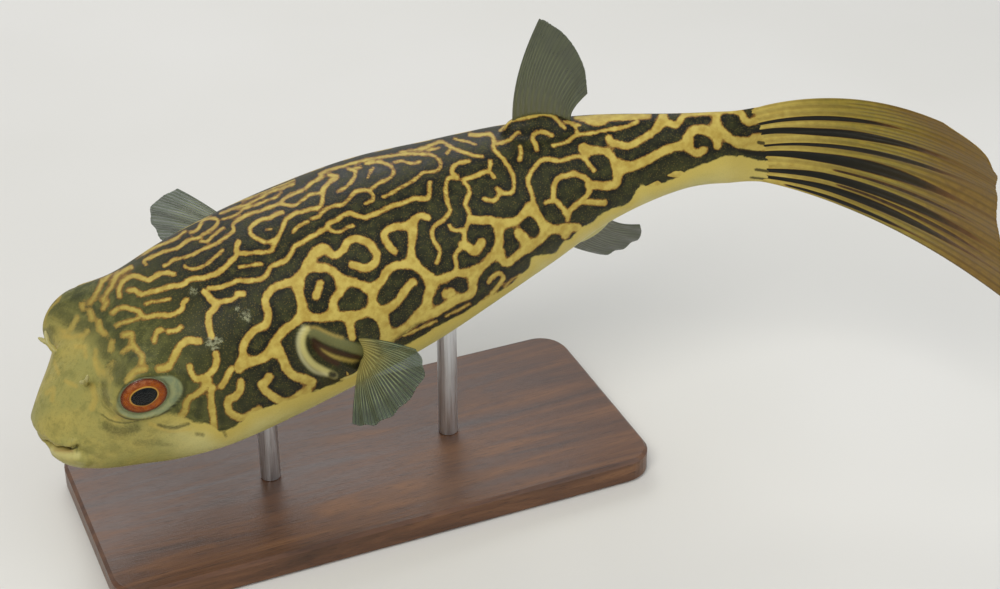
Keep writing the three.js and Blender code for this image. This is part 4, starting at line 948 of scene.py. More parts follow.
def from_plane(values):
    """The plane's values at every skin vertex."""
    u = np.clip(ALONG / PLANE_CELL, 0, PLANE - 2)
    v = np.clip(ROUND / PLANE_CELL + PLANE / 2, 0, PLANE - 2)
    i, j = u.astype(int), v.astype(int)
    low = mix(values[i, j], values[i + 1, j], u - i)
    high = mix(values[i, j + 1], values[i + 1, j + 1], u - i)
    return mix(low, high, v - j)


def band(wavelength, stretch):
    """A filter that keeps waves of that length in mm. stretch above 1 favours lines along the body."""
    along = np.fft.fftfreq(PLANE, PLANE_CELL)[:, None] * stretch
    across = np.fft.fftfreq(PLANE, PLANE_CELL)[None, :]
    return bell(np.hypot(along, across) * wavelength, 1, BAND_WIDTH)


def labyrinth(target, known, shares):
    """Grows waves from noise to meet the known target. shares gives each band's weight over the plane."""
    rng = np.random.default_rng(LABYRINTH_SEED)
    field = rng.standard_normal((PLANE, PLANE))
    for _ in range(LABYRINTH_STEPS):
        spectrum = np.fft.fft2(field)
        waves = np.zeros((PLANE, PLANE))
        for keep, share in shares:
            part = np.fft.ifft2(spectrum * keep).real
            waves += share * part / (part.std() + 1e-9)
        field = np.tanh(LABYRINTH_GAIN * waves + LABYRINTH_BIAS)
        field = mix(field, target, known)
    return field


def grow_markings(drawn, known):
    """Signed mm from the edge of a light line at every skin vertex, for the parts that known leaves open."""
    station = to_plane(PLAIN[..., 0])
    girth = np.interp(station[:, PLANE // 2], PLAIN[:, 0, 0], np.ptp(ROUND, axis=1))[:, None]
    height = np.abs(ACROSS_PLANE)[None, :] / (girth / 2)
    back = within(*BACK_SPAN, height)
    stalk = smooth(*STALK_SPAN, station)
    low = smooth(*LOW_SPAN, height) * (1 - stalk)
    weights = (back * (1 - stalk), (1 - back) * (1 - low) * (1 - stalk), low * (1 - back), stalk)
    shares = [(band(*wave), weight) for wave, weight in zip(WAVES, weights)]
    length = sum(wavelength * weight for (wavelength, _), weight in zip(WAVES, weights))
    edge, softness = KNOWN_TONE
    target = np.tanh((to_plane(drawn) - edge) / softness)
    field = labyrinth(target, to_plane(known), shares)
    phase = np.arccos(-np.clip(field / LABYRINTH_PEAK, -1, 1))
    return from_plane(phase * length / (2 * math.pi) - mix(*LINE_WIDTHS, smooth(*WIDTH_SPAN, height)) / 2)


# ---- The skin's fields --------------------------------------------------------------------------------

HIDDEN_BELLY = math.radians(95)  # where the camera doesn't see, the belly is pale below this angle
TAIL_ROOT_PALE = 0.992  # behind this station the unseen side is as pale as the tail fin's root
PALE_DEPTH = 1  # mm inside the pale belly, where the labyrinth isn't wanted
KNOWN_FADE = (13, 19)  # pixels from a drawn line, over which the labyrinth takes over
GRAZING = (0.1, 0.2)  # and how squarely the skin faces the camera, for the same
OVER_THE_TOP = 30  # columns past the back's midline to which drawn lines still count
VIVID_SPAN = (0.03, 0.32)  # stations over which the markings gain contrast
SNOUT_SPAN, SNOUT_SLOPE, SNOUT_HEIGHT = (0.05, 0.16), 0.12, 0.07  # the plain snout is longer low down
TAIL_YELLOW_SPAN = (0.9, 0.985)
UNDERSIDE_SPAN = (math.radians(75), math.radians(125))
MOUTH_SPAN = (-0.4, 0.16)  # sections
# The pale ring of the eye, in mm: the place of its middle, half its length and half its height
EYE_RING = {"back": 2.2, "up": -1.1, "length": 14.2, "height": 9.1, "near": 14}
# Soft marks of the snout and lips: the field's name, strokes, and pixels over which their edge fades
SOFT_MARKS = (
    ("warm", SNOUT_SPOTS, (-2.2, 3.2)), ("lip", [LOWER_LIP], (-2, 2.4)), ("slit_red", [SLIT_RED], (-1, 1.6)),
)


def gill_fields(pixels):
    """How strongly each gill form shows at every vertex, and their relief in mm."""
    fields = {}
    relief = np.zeros(FACING.shape)
    for key, width, height, line in GILL_FORMS:
        edge = mirror_sides(pixel_field(pixels, [(width, line)]))
        fields[key] = np.maximum(fields.get(key, 0), within(-1.8, 1.9, edge))
        relief += height * within(-2.6, 2.2, edge)
    reach = pixel_field(pixels, [(width, line) for _, width, _, line in GILL_FORMS])
    fields["gill_near"] = mirror_sides(within(6, 9, reach))
    # The flap's rim gets a painted highlight.
    fields["gill_rim_highlight"] = within(-1.5, 2.2, mirror_sides(pixel_field(pixels, [GILL_RIM_HIGHLIGHT])))
    return fields, relief


def mouth_relief(pixels):
    """How far the lips stand out in mm."""
    relief = np.zeros(FACING.shape)
    for width, height, line in MOUTH_FORMS:
        edge = pixel_field(pixels, [(width, line)], seen=LIP_SEEN)
        relief += height * within(-0.32 * width, 1.6 + 0.12 * width, edge)
    right = np.arange(FACING.shape[1]) < FACING.shape[1] // 2 - 2
    return blur(mirror_sides(relief) * np.where(right, FAR_LIP_SHARE, 1.0), 2)


def skin_form():
    """The skin's places on the straight fish: the plain body with its lobes, folds and eye sockets."""
    normals = outward_normals(PLAIN)
    relief = head_relief(PLAIN, SKIN_T) + blur(gill_fields(PLAIN_PIXELS)[1], 3) + mouth_relief(PLAIN_PIXELS)
    out = raise_lobes(PLAIN, normals) + relief * ONE_MM
    skin = sink_eyes(PLAIN + out[..., None] * normals)
    skin[..., 1] *= 1 - TAIL_ROOT_THINNING * smooth(*TAIL_ROOT_SPAN, skin[..., 0])
    return skin


SKIN = skin_form()
PIXELS, FACING = seen_from_camera(place(SKIN))


def ground_field():
    """Mm into the dark ground, below 0 on the pale cheek and belly; the right side follows the left."""
    field = -pixel_field(PIXELS, [(0, PALE_BORDER)], BORDER_REACH)
    inside = inside_outline(PIXELS, PALE_BORDER + PALE_CLOSING)
    below = np.abs(column_angles())[None, :] > HIDDEN_BELLY
    hidden = np.where(below, -float(BORDER_REACH), float(BORDER_REACH))
    field = np.where(FACING < SEEN, hidden, np.where(inside, field, -field))
    return blur(mirror_sides(field) * MM_PER_PIXEL, 3)


def line_field():
    """Pixels from the nearest drawn light line's edge."""
    field = np.full(FACING.shape, float(LINE_REACH))
    for strokes, gain, fillet in LINE_SETS:
        wider = [(width + gain, line) for width, line in strokes]
        field = np.minimum(field, pixel_field(PIXELS, wider, LINE_REACH, fillet))
    return field


def mark_field(ground, gill_near):
    """Mm from the edge of a light line, below 0 inside it: the drawn ones, and the labyrinth beyond them."""
    lines = line_field()
    columns = len(column_angles())
    left = (np.arange(columns) >= columns // 2 - OVER_THE_TOP)[None, :]
    known = within(*KNOWN_FADE, lines) * smooth(*GRAZING, FACING) * left
    known = np.maximum(known, (ground < -PALE_DEPTH) * 1.0)
    grown = grow_markings(np.minimum(lines * MM_PER_PIXEL, 4), known)
    grown = np.minimum(grown, (TAIL_ROOT_PALE - PLAIN[..., 0]) / ONE_MM)
    return mix(grown, lines * MM_PER_PIXEL, np.maximum(known, np.clip(gill_near, 0, 1)))


def smudge_field():
    """How dark the soft dark marks are, from 0 to 1, with painted shade under the eye and in the mouth among
    them.
    """
    smudge = np.zeros(FACING.shape)
    for width, strength, line in DARK_MARKS:
        soft = max(1.4, 0.34 * width)
        smudge = np.maximum(smudge, strength * within(-soft, soft, pixel_field(PIXELS, [(width, line)])))
    return mirror_sides(smudge)


def eye_fields():
    """The pale ring round each eye, and painted shade: the dark line in the crease round it, which fades
    above the eye.
    """
    ring, line = 0, 0
    for side, _ in SIDES:
        height, back, up = eye_polar(SKIN, side)
        near = (np.abs(height) < EYE_RING["near"]) * 1.0
        across, over = back - EYE_RING["back"], up - EYE_RING["up"]
        oval = np.hypot(across / EYE_RING["length"], over / EYE_RING["height"])
        ring = np.maximum(ring, near * within(0.96, 1.04, oval))
        line = np.maximum(line, near * bell(oval, 1.06, 0.055) * smooth(6, -6, up))
    return {"eye_ring": ring, "eye_crease_shade": line}


def scuff_field():
    field = np.zeros(FACING.shape)
    for spot, radius in SCUFFS:
        distance = np.hypot(*split(PIXELS - spot)) + BORDER_REACH * (FACING < SEEN)
        field = np.maximum(field, within(radius * 0.4, radius, distance))
    return field


def skin_fields():
    """Everything that the skin's material reads at each vertex, by name."""
    ground = ground_field()
    fields, _ = gill_fields(PIXELS)
    mark = mark_field(ground, fields.pop("gill_near"))
    fields.update(mark=np.clip(mark, -4, 6), ground=np.clip(ground, -9, 9), smudge=smudge_field())
    for key, strokes, fade in SOFT_MARKS:
        fields[key] = mirror_sides(within(*fade, pixel_field(PIXELS, strokes)))
    fields.update(eye_fields(), scuff=scuff_field())
    x, z = PLAIN[..., 0], PLAIN[..., 2]
    fields["vivid"] = smooth(*VIVID_SPAN, x)
    fields["snout"] = within(*SNOUT_SPAN, x + SNOUT_SLOPE * (z - SNOUT_HEIGHT))
    fields["tail_root"] = smooth(*TAIL_YELLOW_SPAN, x)
    fields["underside"] = smooth(*UNDERSIDE_SPAN, np.abs(column_angles()))[None, :] + 0 * x
    fields["mouth"] = within(*MOUTH_SPAN, SKIN_T)
    return fields


def build_skin(material):
    """One closed skin from the lining of the mouth to the root of the tail fin."""
    shares = (np.arange(1, MOUTH_RINGS + 1) / (MOUTH_RINGS + 1))[::-1]
    lining = [mix(SKIN[0], MOUTH_DEPTH, share**1.2) for share in shares]
    grid = np.concatenate([np.array(lining), SKIN])
    rows, columns = grid.shape[:2]
    values = {
        key: np.concatenate([np.repeat(field[:1], MOUTH_RINGS, 0), field])
        for key, field in skin_fields().items()
    }
    values["mouth"][:MOUTH_RINGS] = 1.0
    # deep: painted shade, darkest at the far end of the mouth's lining
    values["deep"] = np.zeros((rows, columns))
    values["deep"][:MOUTH_RINGS] = (1 - np.arange(MOUTH_RINGS) / MOUTH_RINGS)[:, None]
    points = np.concatenate([place(grid).reshape(-1, 3), place(np.array([MOUTH_DEPTH, SKIN[-1].mean(0)]))])
    faces, corners = grid_faces(rows, columns, True)
    first, last = rows * columns, rows * columns + 1
    foot = (rows - 1) * columns
    for column in range(columns):
        beside = (column + 1) % columns
        faces += [(first, beside, column), (last, foot + column, foot + beside)]
        left, right = column / columns, (column + 1) / columns
        corners += [(0, left), (0, right), (0, left), (1, left), (1, left), (1, right)]
    flat = {
        key: np.concatenate([field.ravel(), [field[0].mean(), field[-1].mean()]])
        for key, field in values.items()
    }
    flesh = ["head", "lower_jaw", "trunk", "tail_stalk"]
    flesh += [f"{name}_{word}" for name in ("gill_flap", "pectoral_base") for _, word in SIDES]
    return make_piece("skin", points, faces, corners, flat, material, flesh)


# ---- Materials ----------------------------------------------------------------------------------------

MIX_SHARE, MIX_A, MIX_B, MIX_RESULT = 0, 6, 7, 2  # the colour sockets of Blender's Mix node


def linear(red, green, blue):
    """A colour given as 0-255 sRGB, as Blender's linear numbers."""
    parts = (c / 255 for c in (red, green, blue))
    return tuple(part / 12.92 if part <= 0.04 else ((part + 0.055) / 1.055) ** 2.4 for part in parts) + (1,)


class Finish:
    """A material's nodes, built up by short calls that return output sockets."""

    def __init__(self, name, roughness=0.5, **settings):
        self.material = bpy.data.materials.new(name)
        self.material.use_nodes = True
        self.tree = self.material.node_tree
        self.shader = self.tree.nodes["Principled BSDF"]
        self.set("Roughness", roughness)
        for key, value in settings.items():
            self.set(key.replace("_", " "), value)

    def feed(self, socket, value):
        if isinstance(value, bpy.types.NodeSocket):
            self.tree.links.new(value, socket)
        else:
            socket.default_value = value

    def set(self, name, value):
        self.feed(self.shader.inputs[name], value)

    def node(self, kind, output, inputs, **settings):
        """An output of a new node, given its settings and what goes into its inputs, by name or number."""
        node = self.tree.nodes.new("ShaderNode" + kind)
        for key, value in settings.items():
            setattr(node, key, value)
        for key, value in inputs.items():
            self.feed(node.inputs[key], value)
        return node.outputs[output]

    def attribute(self, name):
        return self.node("Attribute", "Fac", {}, attribute_name=name)

    def position(self, stretch=(1, 1, 1)):
        places = self.node("TexCoord", "Object", {})
        return self.node("Mapping", "Vector", {"Vector": places, "Scale": stretch})

    def noise(self, scale, detail=3.0, rough=0.55, vector=None, distortion=0.0):
        inputs = {"Scale": scale, "Detail": detail, "Roughness": rough, "Distortion": distortion}
        return self.node("TexNoise", "Fac", {**inputs, "Vector": vector or self.position()})

    def cells(self, scale):
        return self.node("TexVoronoi", "Distance", {"Scale": scale, "Vector": self.position()})

    def math(self, operation, a, b):
        return self.node("Math", 0, {0: a, 1: b}, operation=operation)

    def plus(self, a, b):
        return self.math("ADD", a, b)

    def times(self, a, b):
        return self.math("MULTIPLY", a, b)

    def step(self, value, start, end, low=0.0, high=1.0):
        """A smooth step from low at start to high at end."""
        inputs = {"Value": value, "From Min": start, "From Max": end, "To Min": low, "To Max": high}
        return self.node("MapRange", "Result", inputs, interpolation_type="SMOOTHSTEP")

    def blend(self, share, a, b, most=1.0):
        """Colour a going over to b by a share, which is first multiplied by most."""
        share = share if most == 1.0 else self.times(share, most)
        return self.node("Mix", MIX_RESULT, {MIX_SHARE: share, MIX_A: a, MIX_B: b}, data_type="RGBA")

    def fade(self, value, start, end, a, b, most=1.0):
        """Colour a going over to b, up to the share most, as value steps from start to end."""
        return self.blend(self.step(value, start, end, 0.0, most), a, b)

    def ramp(self, value, stops):
        node = self.tree.nodes.new("ShaderNodeValToRGB")
        elements = node.color_ramp.elements
        while len(elements) < len(stops):
            elements.new(0.5)
        for element, (at, colour) in zip(elements, stops):
            element.position = at
            element.color = colour
        self.feed(node.inputs["Fac"], value)
        return node.outputs["Color"]

    def bump(self, height, distance, strength, normal=None):
        inputs = {"Distance": distance, "Strength": strength, "Height": height}
        if normal is not None:
            inputs["Normal"] = normal
        return self.node("Bump", "Normal", inputs)

    def finished(self, colour, roughness, bump):
        """The material, given its colour, what step() takes for roughness, and bump() for the relief."""
        self.set("Base Color", colour)
        self.set("Roughness", self.step(*roughness))
        self.set("Normal", self.bump(*bump))
        return self.material


LINE_PALE = linear(194, 174, 88)
LINE_OCHRE = linear(168, 142, 62)
FRINGE = linear(106, 66, 22)
DARK_EDGE = linear(19, 19, 9)
DARK_MIDDLE = linear(38, 39, 18)
DARK_OLIVE = linear(62, 63, 30)
HEAD_DARK = linear(94, 94, 46)
HEAD_SHADE = linear(68, 70, 30)
# The head's soft dark marks, with painted shade under the eye and in the mouth among them
HEAD_MARK = linear(56, 60, 28)
HEAD_LIGHT = linear(166, 156, 74)
SNOUT = linear(148, 142, 78)
SNOUT_WARM = linear(166, 152, 80)
SNOUT_SHADE = linear(114, 112, 58)
SNOUT_SPOT = linear(190, 160, 74)
BELLY = linear(204, 196, 130)
CHIN = linear(186, 178, 110)
EYE_RING_COLOUR = linear(140, 144, 100)
EYE_RING_COOL = linear(120, 130, 96)
# Painted shade in the crease round the eye
EYE_CREASE_SHADE = linear(38, 40, 22)
LIP_COLOUR = linear(128, 80, 44)
# Painted shade deep inside the mouth
MOUTH_DEPTH_SHADE = linear(40, 20, 14)
SCUFF_COLOUR = linear(160, 160, 124)
# The fields that lie over the skin's markings, each with its greatest share and its colour
GILL_TINTS = (
    ("gill_band", 0.7, linear(118, 118, 72)), ("gill_ridge", 0.7, linear(176, 152, 74)),
    # The gill slit's dark brown is painted shade in its fold.
    ("gill_slit_shade", 0.95, linear(58, 36, 16)), ("gill_pale", 0.9, linear(190, 180, 112)),
    # The flap rim's pale tint is a painted highlight.
    ("gill_rim_highlight", 0.65, linear(206, 200, 148)), ("gill_spot", 0.95, DARK_EDGE),
)


def skin_pattern(finish, mark, vivid, mottle, speck, snout):
    """Light lines with a reddish-brown fringe on dark cells, softer and closer in tone on the head."""
    deep = finish.fade(mark, 0.5, 2.6, DARK_EDGE, DARK_MIDDLE)
    deep = finish.fade(mottle, 0.42, 0.72, deep, DARK_OLIVE, 0.7)
    deep = finish.blend(speck, deep, LINE_OCHRE, 0.2)
    soft_dark = finish.fade(mottle, 0.36, 0.62, HEAD_DARK, HEAD_SHADE)
    soft_dark = finish.blend(speck, soft_dark, HEAD_LIGHT, 0.25)
    soft_dark = finish.fade(snout, 0.05, 0.75, soft_dark, SNOUT_SHADE)
    deep = finish.fade(vivid, 0.2, 0.9, soft_dark, deep)
    line = finish.fade(mottle, 0.3, 0.7, LINE_OCHRE, LINE_PALE)
    line = finish.fade(mark, -0.9, -0.05, line, LINE_OCHRE, 0.7)
    line = finish.fade(vivid, 0.1, 0.7, finish.blend(mottle, HEAD_LIGHT, LINE_OCHRE), line)
    fringe = finish.times(finish.step(mark, -0.6, 0.05), finish.step(vivid, 0.05, 0.5, 0.35, 0.9))
    line = finish.blend(fringe, line, FRINGE)
    return finish.fade(mark, -0.08, 0.26, line, deep)


def snout_colour(finish, speck):
    """Khaki with soft patches, grain and pores."""
    colour = finish.fade(finish.noise(60, 4, 0.6), 0.35, 0.65, SNOUT, SNOUT_WARM)
    colour = finish.fade(finish.noise(130, 5, 0.7), 0.47, 0.68, colour, SNOUT_SHADE, 0.5)
    colour = finish.fade(finish.noise(620, 3, 0.6), 0.5, 0.7, colour, HEAD_DARK, 0.28)
    return finish.blend(speck, colour, SNOUT_SHADE, 0.25)


def pale_ground(finish, depth, vivid, speck, snout):
    """The snout's khaki going over to the belly, which is as yellow as the lines beside the dark ground."""
    belly = finish.fade(finish.noise(38, 3), 0.35, 0.65, BELLY, CHIN)
    belly = finish.fade(depth, -8.5, -0.5, belly, LINE_PALE)
    belly = finish.blend(finish.attribute("tail_root"), belly, LINE_PALE, 0.8)
    pale = finish.fade(vivid, 0.1, 0.55, snout, belly)
    pale = finish.blend(finish.attribute("underside"), pale, belly, 0.6)
    return finish.blend(speck, pale, SNOUT_SHADE, 0.14)


def dark_marks(finish, colour, mark, vivid, grain):
    """Soft dark marks, with painted shade under the eye and in the mouth among them, which leave the head's
    light lines clear.
    """
    smudge = finish.plus(finish.attribute("smudge"), finish.times(grain, 0.5))
    off_lines = finish.math("MAXIMUM", finish.step(mark, -0.2, 0.2), finish.step(vivid, 0.5, 0.85))
    smudge = finish.times(finish.step(smudge, 0.12, 0.8, 0.0, 0.85), off_lines)
    return finish.blend(smudge, colour, finish.blend(vivid, HEAD_MARK, DARK_EDGE))


def skin_details(finish, colour):
    """Eye rings, gills, the mouth's lining and scuffs, over the rest, with painted shade in the eye's crease,
    the gill slit and deep in the mouth, and a painted highlight on the gill flap's rim.
    """
    ring = finish.fade(finish.noise(420, 3), 0.35, 0.65, EYE_RING_COLOUR, EYE_RING_COOL)
    tints = (
        ("eye_ring", 0.9, ring),
        # Painted shade in the crease round the eye, strongest below it
        ("eye_crease_shade", 0.85, EYE_CREASE_SHADE),
        *GILL_TINTS,
        ("mouth", 0.55, LIP_COLOUR),
    )
    # deep paints shade into the mouth's lining
    for key, most, tint in (*tints, ("deep", 1.0, MOUTH_DEPTH_SHADE)):
        colour = finish.blend(finish.attribute(key), colour, tint, most)
    scuff = finish.attribute("scuff")
    patchy = finish.plus(finish.noise(640, 5, 0.8), finish.times(scuff, 0.2))
    scuffed = finish.times(finish.step(scuff, 0.0, 0.3), finish.step(patchy, 0.6, 0.78))
    return finish.blend(scuffed, colour, SCUFF_COLOUR, 0.7)


def skin_material():
    finish = Finish("puffer_skin", 0.5, Specular_IOR_Level=0.2)
    vivid, snout = finish.attribute("vivid"), finish.attribute("snout")
    mottle = finish.noise(260, 4)
    speck = finish.step(finish.cells(1150), 0.16, 0.34, 1.0, 0.0)
    grain = finish.math("SUBTRACT", finish.noise(1100, 3, 0.65), 0.5)
    wave = finish.math("SUBTRACT", finish.noise(330, 2, 0.5), 0.5)
    wobble = finish.times(grain, finish.step(vivid, 0.2, 0.9, 1.6, 0.9))
    wobble = finish.plus(wobble, finish.times(wave, 1.3))
    crisp = finish.step(vivid, 0.05, 0.75, 0.26, 1.0)
    mark = finish.times(finish.plus(finish.attribute("mark"), wobble), crisp)
    depth = finish.plus(finish.attribute("ground"), wobble)
    khaki = snout_colour(finish, speck)
    pattern = skin_pattern(finish, mark, vivid, mottle, speck, snout)
    pale = pale_ground(finish, depth, vivid, speck, khaki)
    colour = finish.fade(finish.times(depth, crisp), -0.45, 0.35, pale, pattern)
    colour = finish.fade(snout, 0.1, 1.0, colour, khaki, 0.86)
    warm = finish.plus(finish.attribute("warm"), finish.times(grain, 0.8))
    colour = finish.fade(warm, 0.1, 1.1, colour, SNOUT_SPOT, 0.42)
    colour = finish.blend(finish.attribute("lip"), colour, BELLY, 0.5)
    colour = finish.blend(finish.attribute("slit_red"), colour, LIP_COLOUR, 0.45)
    colour = skin_details(finish, dark_marks(finish, colour, mark, vivid, grain))
    fine = finish.bump(finish.times(finish.cells(1500), -1.0), 0.00014, 0.6)
    folds = (finish.noise(160, 5, 0.6), 0.0005, 0.5, fine)
    return finish.finished(colour, (mottle, 0.3, 0.7, 0.4, 0.56), folds)


# ---- Eyes ---------------------------------------------------------------------------------------------

EYE_SPOKES = 96
IRIS_RADIUS = 9.7  # mm
PUPIL = {"back": 5.7, "up": 5.0, "mean": 5.2}  # mm, half its length and height
# Profiles as (radius, height over the rim plane) in mm, from the middle out and round to the back
EYEBALL = [
    (0.05, 0.95), (1.5, 0.88), (3, 0.62), (4.4, 0.15), (5.3, -0.35), (5.9, -0.6), (6.8, -0.55),
    (8, -0.62), (9.2, -0.85),
    (9.9, -1.1), (10.6, -1.2), (11.2, -1.35), (11.5, -2.0), (10.8, -3.6), (8.5, -5.0), (5, -5.8), (0.05, -6),
]
CORNEA = [
    (0.05, 2.75), (2, 2.67), (4, 2.4), (6, 1.92), (8, 1.2), (9.6, 0.4), (10.8, -0.45), (11.35, -1.1),
    (11.2, -1.45),
    (10.6, -0.75), (9.5, 0.1), (8, 0.88), (6, 1.6), (4, 2.1), (2, 2.36), (0.05, 2.44),
]


def lathe(profile, side, steps):
    """A closed form turned about an eye's axis: its points in the frame, and its polar places."""
    rows = smoothed(profile, steps)
    angle = np.linspace(0, 2 * math.pi, EYE_SPOKES, endpoint=False)
    radius = np.maximum(rows[:, :1], 0.02) * np.ones(EYE_SPOKES)
    back, up = radius * np.cos(angle), radius * np.sin(angle)
    centre, axis, rear, upward = eye_frame(side)
    offset = rows[:, 1:2, None] * axis + back[..., None] * rear + EYE_SQUASH * up[..., None] * upward
    return place(centre + offset * ONE_MM), radius, back, up


def turned_piece(name, profile, side, steps, material, fields, replaced=()):
    """A closed form turned about an eye's axis. fields works out its attributes from the polar places."""
    points, radius, back, up = lathe(profile, side, steps)
    faces, corners = grid_faces(len(points), EYE_SPOKES, True, flip=side > 0)
    count = len(points) * EYE_SPOKES
    front, rear = tuple(range(EYE_SPOKES)), tuple(range(count - EYE_SPOKES, count))
    faces += [front, rear[::-1]] if side > 0 else [front[::-1], rear]
    corners += [(end, spoke / EYE_SPOKES) for end in (0, 1) for spoke in range(EYE_SPOKES)]
    return make_piece(name, points, faces, corners, fields(radius, back, up), material, replaced)


def iris_fields(radius, back, up):
    """How far outside the notched pupil each place is, and its radius and height, in mm."""
    notch = 0.35 * bell(np.arctan2(up, back), -1.75, 0.3)
    oval = np.hypot(back / PUPIL["back"], up / PUPIL["up"])
    pupil = (oval - 1) * PUPIL["mean"] - notch
    return {"pupil": np.where(radius > IRIS_RADIUS - 1, 4, pupil), "rim": radius, "upper": up}


def iris_material():
    finish = Finish("eye_iris", 0.28, Specular_IOR_Level=0.2)
    pupil, rim = finish.attribute("pupil"), finish.attribute("rim")
    streak = finish.noise(520, 4, 0.65)
    orange = finish.fade(streak, 0.35, 0.66, linear(150, 66, 4), linear(184, 96, 10))
    # Painted highlight: the iris is pinker and lighter towards its top.
    top_highlight = finish.fade(streak, 0.35, 0.7, linear(150, 66, 24), linear(192, 118, 72))
    ring = finish.fade(streak, 0.35, 0.65, EYE_RING_COLOUR, EYE_RING_COOL)
    colour = finish.fade(finish.attribute("upper"), 4.4, 8.5, orange, top_highlight)
    colour = finish.fade(rim, IRIS_RADIUS - 1.6, IRIS_RADIUS, colour, linear(104, 42, 8))
    colour = finish.fade(pupil, 0.7, 0.3, colour, linear(214, 164, 66))
    colour = finish.fade(rim, IRIS_RADIUS - 0.1, IRIS_RADIUS + 0.35, colour, ring)
    colour = finish.fade(pupil, -0.2, 0.12, linear(9, 11, 12), colour)
    rough = finish.times(streak, finish.step(pupil, 0.1, 0.6))
    return finish.finished(colour, (pupil, -0.3, 0.5, 0.26, 0.34), (rough, 0.0003, 0.6))


def cornea_material():
    finish = Finish("eye_cornea", 0.04, Specular_IOR_Level=0.5, Base_Color=linear(24, 28, 26))
    haze = finish.noise(300, 3)
    finish.set("Alpha", finish.step(haze, 0.3, 0.8, 0.1, 0.14))
    finish.set("Roughness", finish.step(haze, 0.3, 0.7, 0.08, 0.12))
    return finish.material


# ---- Nasal tentacles ----------------------------------------------------------------------------------

TENTACLE = {
    "root": (0.064, 0.035, 0.084),
    "fork": (0.06, 0.056, 0.103),
    "tips": [(0.053, 0.064, 0.114), (0.065, 0.065, 0.117)],
    "radii": (1.7, 1.0, 0.95, 0.38),  # mm, at the root, under the fork, over it and at the tip
    "stations": (0, 0.45, 0.6, 1),  # shares of the length, for the radii
    "bow": 0.0015,
}
TENTACLE_FLATNESS = ((0, 0.5, 0.8, 1), (1, 1, 1.35, 1.2))  # shares of the length, and breadth against depth
TENTACLE_SIDES = 20
TENTACLE_ROWS = 36


def tentacle_branch(tip, side):
    """A grid of points along one branch, from root to fork to tip, and the share along it."""
    root, fork, end = (on_side(at, side) for at in (TENTACLE["root"], TENTACLE["fork"], tip))
    bulge = mix(fork, end, 0.5) + np.array([0, TENTACLE["bow"] * side, 0])
    path = [root, mix(root, fork, 0.55), fork, bulge, end]
    share = np.linspace(0, 1, TENTACLE_ROWS)
    line = spline(path, share * (len(path) - 1))
    radii = np.interp(share, TENTACLE["stations"], TENTACLE["radii"]) * (1 + 0.06 * np.sin(share * 40))
    radii = radii * np.sqrt(np.clip((1 - share) / 0.06, 0.05, 1))
    ahead = unit(np.gradient(line, axis=0))
    side_way = unit(np.cross(ahead, [1.0, 0, 0]))
    front_way = np.cross(side_way, ahead)
    angle = np.linspace(0, 2 * math.pi, TENTACLE_SIDES, endpoint=False)
    flat = np.interp(share, *TENTACLE_FLATNESS)[:, None, None]
    ring = np.cos(angle)[:, None] * side_way[:, None] + np.sin(angle)[:, None] * front_way[:, None] * flat
    grid = line[:, None] + ring * (radii * ONE_MM)[:, None, None]
    return grid, np.repeat(share[:, None], TENTACLE_SIDES, 1)


def tentacle(side, word, material):
    points, faces, corners, along = [], [], [], []
    count = TENTACLE_ROWS * TENTACLE_SIDES
    for number, tip in enumerate(TENTACLE["tips"]):
        grid, shares = tentacle_branch(tip, side)
        low = number * count
        high = low + count - TENTACLE_SIDES
        more, more_corners = grid_faces(TENTACLE_ROWS, TENTACLE_SIDES, True, low)
        more += [tuple(range(low, low + TENTACLE_SIDES))[::-1], tuple(range(high, high + TENTACLE_SIDES))]
        more_corners += [(0, 0)] * TENTACLE_SIDES + [(1, 1)] * TENTACLE_SIDES
        points.append(place(grid))
        along.append(shares)
        faces += more
        corners += more_corners
    name, node = f"nasal_tentacle_skin_{word}", f"nasal_tentacle_{word}"
    values = {"along": np.array(along)}
    return make_piece(name, np.array(points), faces, corners, values, material, [node])


def tentacle_material():
    finish = Finish("tentacle_skin", 0.4)
    mottle = finish.noise(600, 4)
    base = finish.fade(mottle, 0.35, 0.65, SNOUT, SNOUT_WARM)
    colour = finish.fade(finish.attribute("along"), 0.35, 0.95, base, linear(168, 160, 104))
    return finish.finished(colour, (mottle, 0.3, 0.7, 0.34, 0.48), (mottle, 0.0002, 0.6))


# ---- Fins ---------------------------------------------------------------------------------------------

FIN_SINK = 0.008
DORSAL_FIN = {
    "root": [(0.7, 0, 0.128), (0.74, 0, 0.126), (0.778, 0, 0.106)],
    "margin": [(0.77, 0, 0.272), (0.785, 0, 0.256), (0.801, 0, 0.228), (0.81, 0, 0.185), (0.806, 0, 0.146)],
    "bow": (-0.011, 0, 0),
}
ANAL_FIN = {
    "root": [(0.722, 0, -0.052), (0.76, 0, -0.056), (0.792, 0, -0.048)],
    "margin": [
        (0.775, 0, -0.18), (0.795, 0, -0.182), (0.816, 0, -0.17), (0.832, 0, -0.145), (0.833, 0, -0.108),
    ],
    "bow": (-0.008, 0, 0),
    "swing": math.radians(33),
}
PECTORAL_LEFT = {
    "root": [(0.389, 0.129, 0.022), (0.395, 0.131, 0.002), (0.39, 0.128, -0.02)],
    "margin": [
        (0.449, 0.216, 0.03), (0.442, 0.239, 0.006), (0.4, 0.246, -0.018), (0.362, 0.238, -0.03),
        (0.337, 0.219, -0.031),
    ],
    "bow": (0, 0, 0.006),
}
PECTORAL_RIGHT = {
    "root": [(0.362, -0.142, 0.024), (0.37, -0.143, 0.002), (0.366, -0.138, -0.02)],
    "margin": [
        (0.303, -0.25, 0.098), (0.27, -0.262, 0.083), (0.262, -0.258, 0.052), (0.27, -0.24, 0.018),
        (0.29, -0.216, -0.012),
    ],
    "bow": (0, 0, 0.006),
}
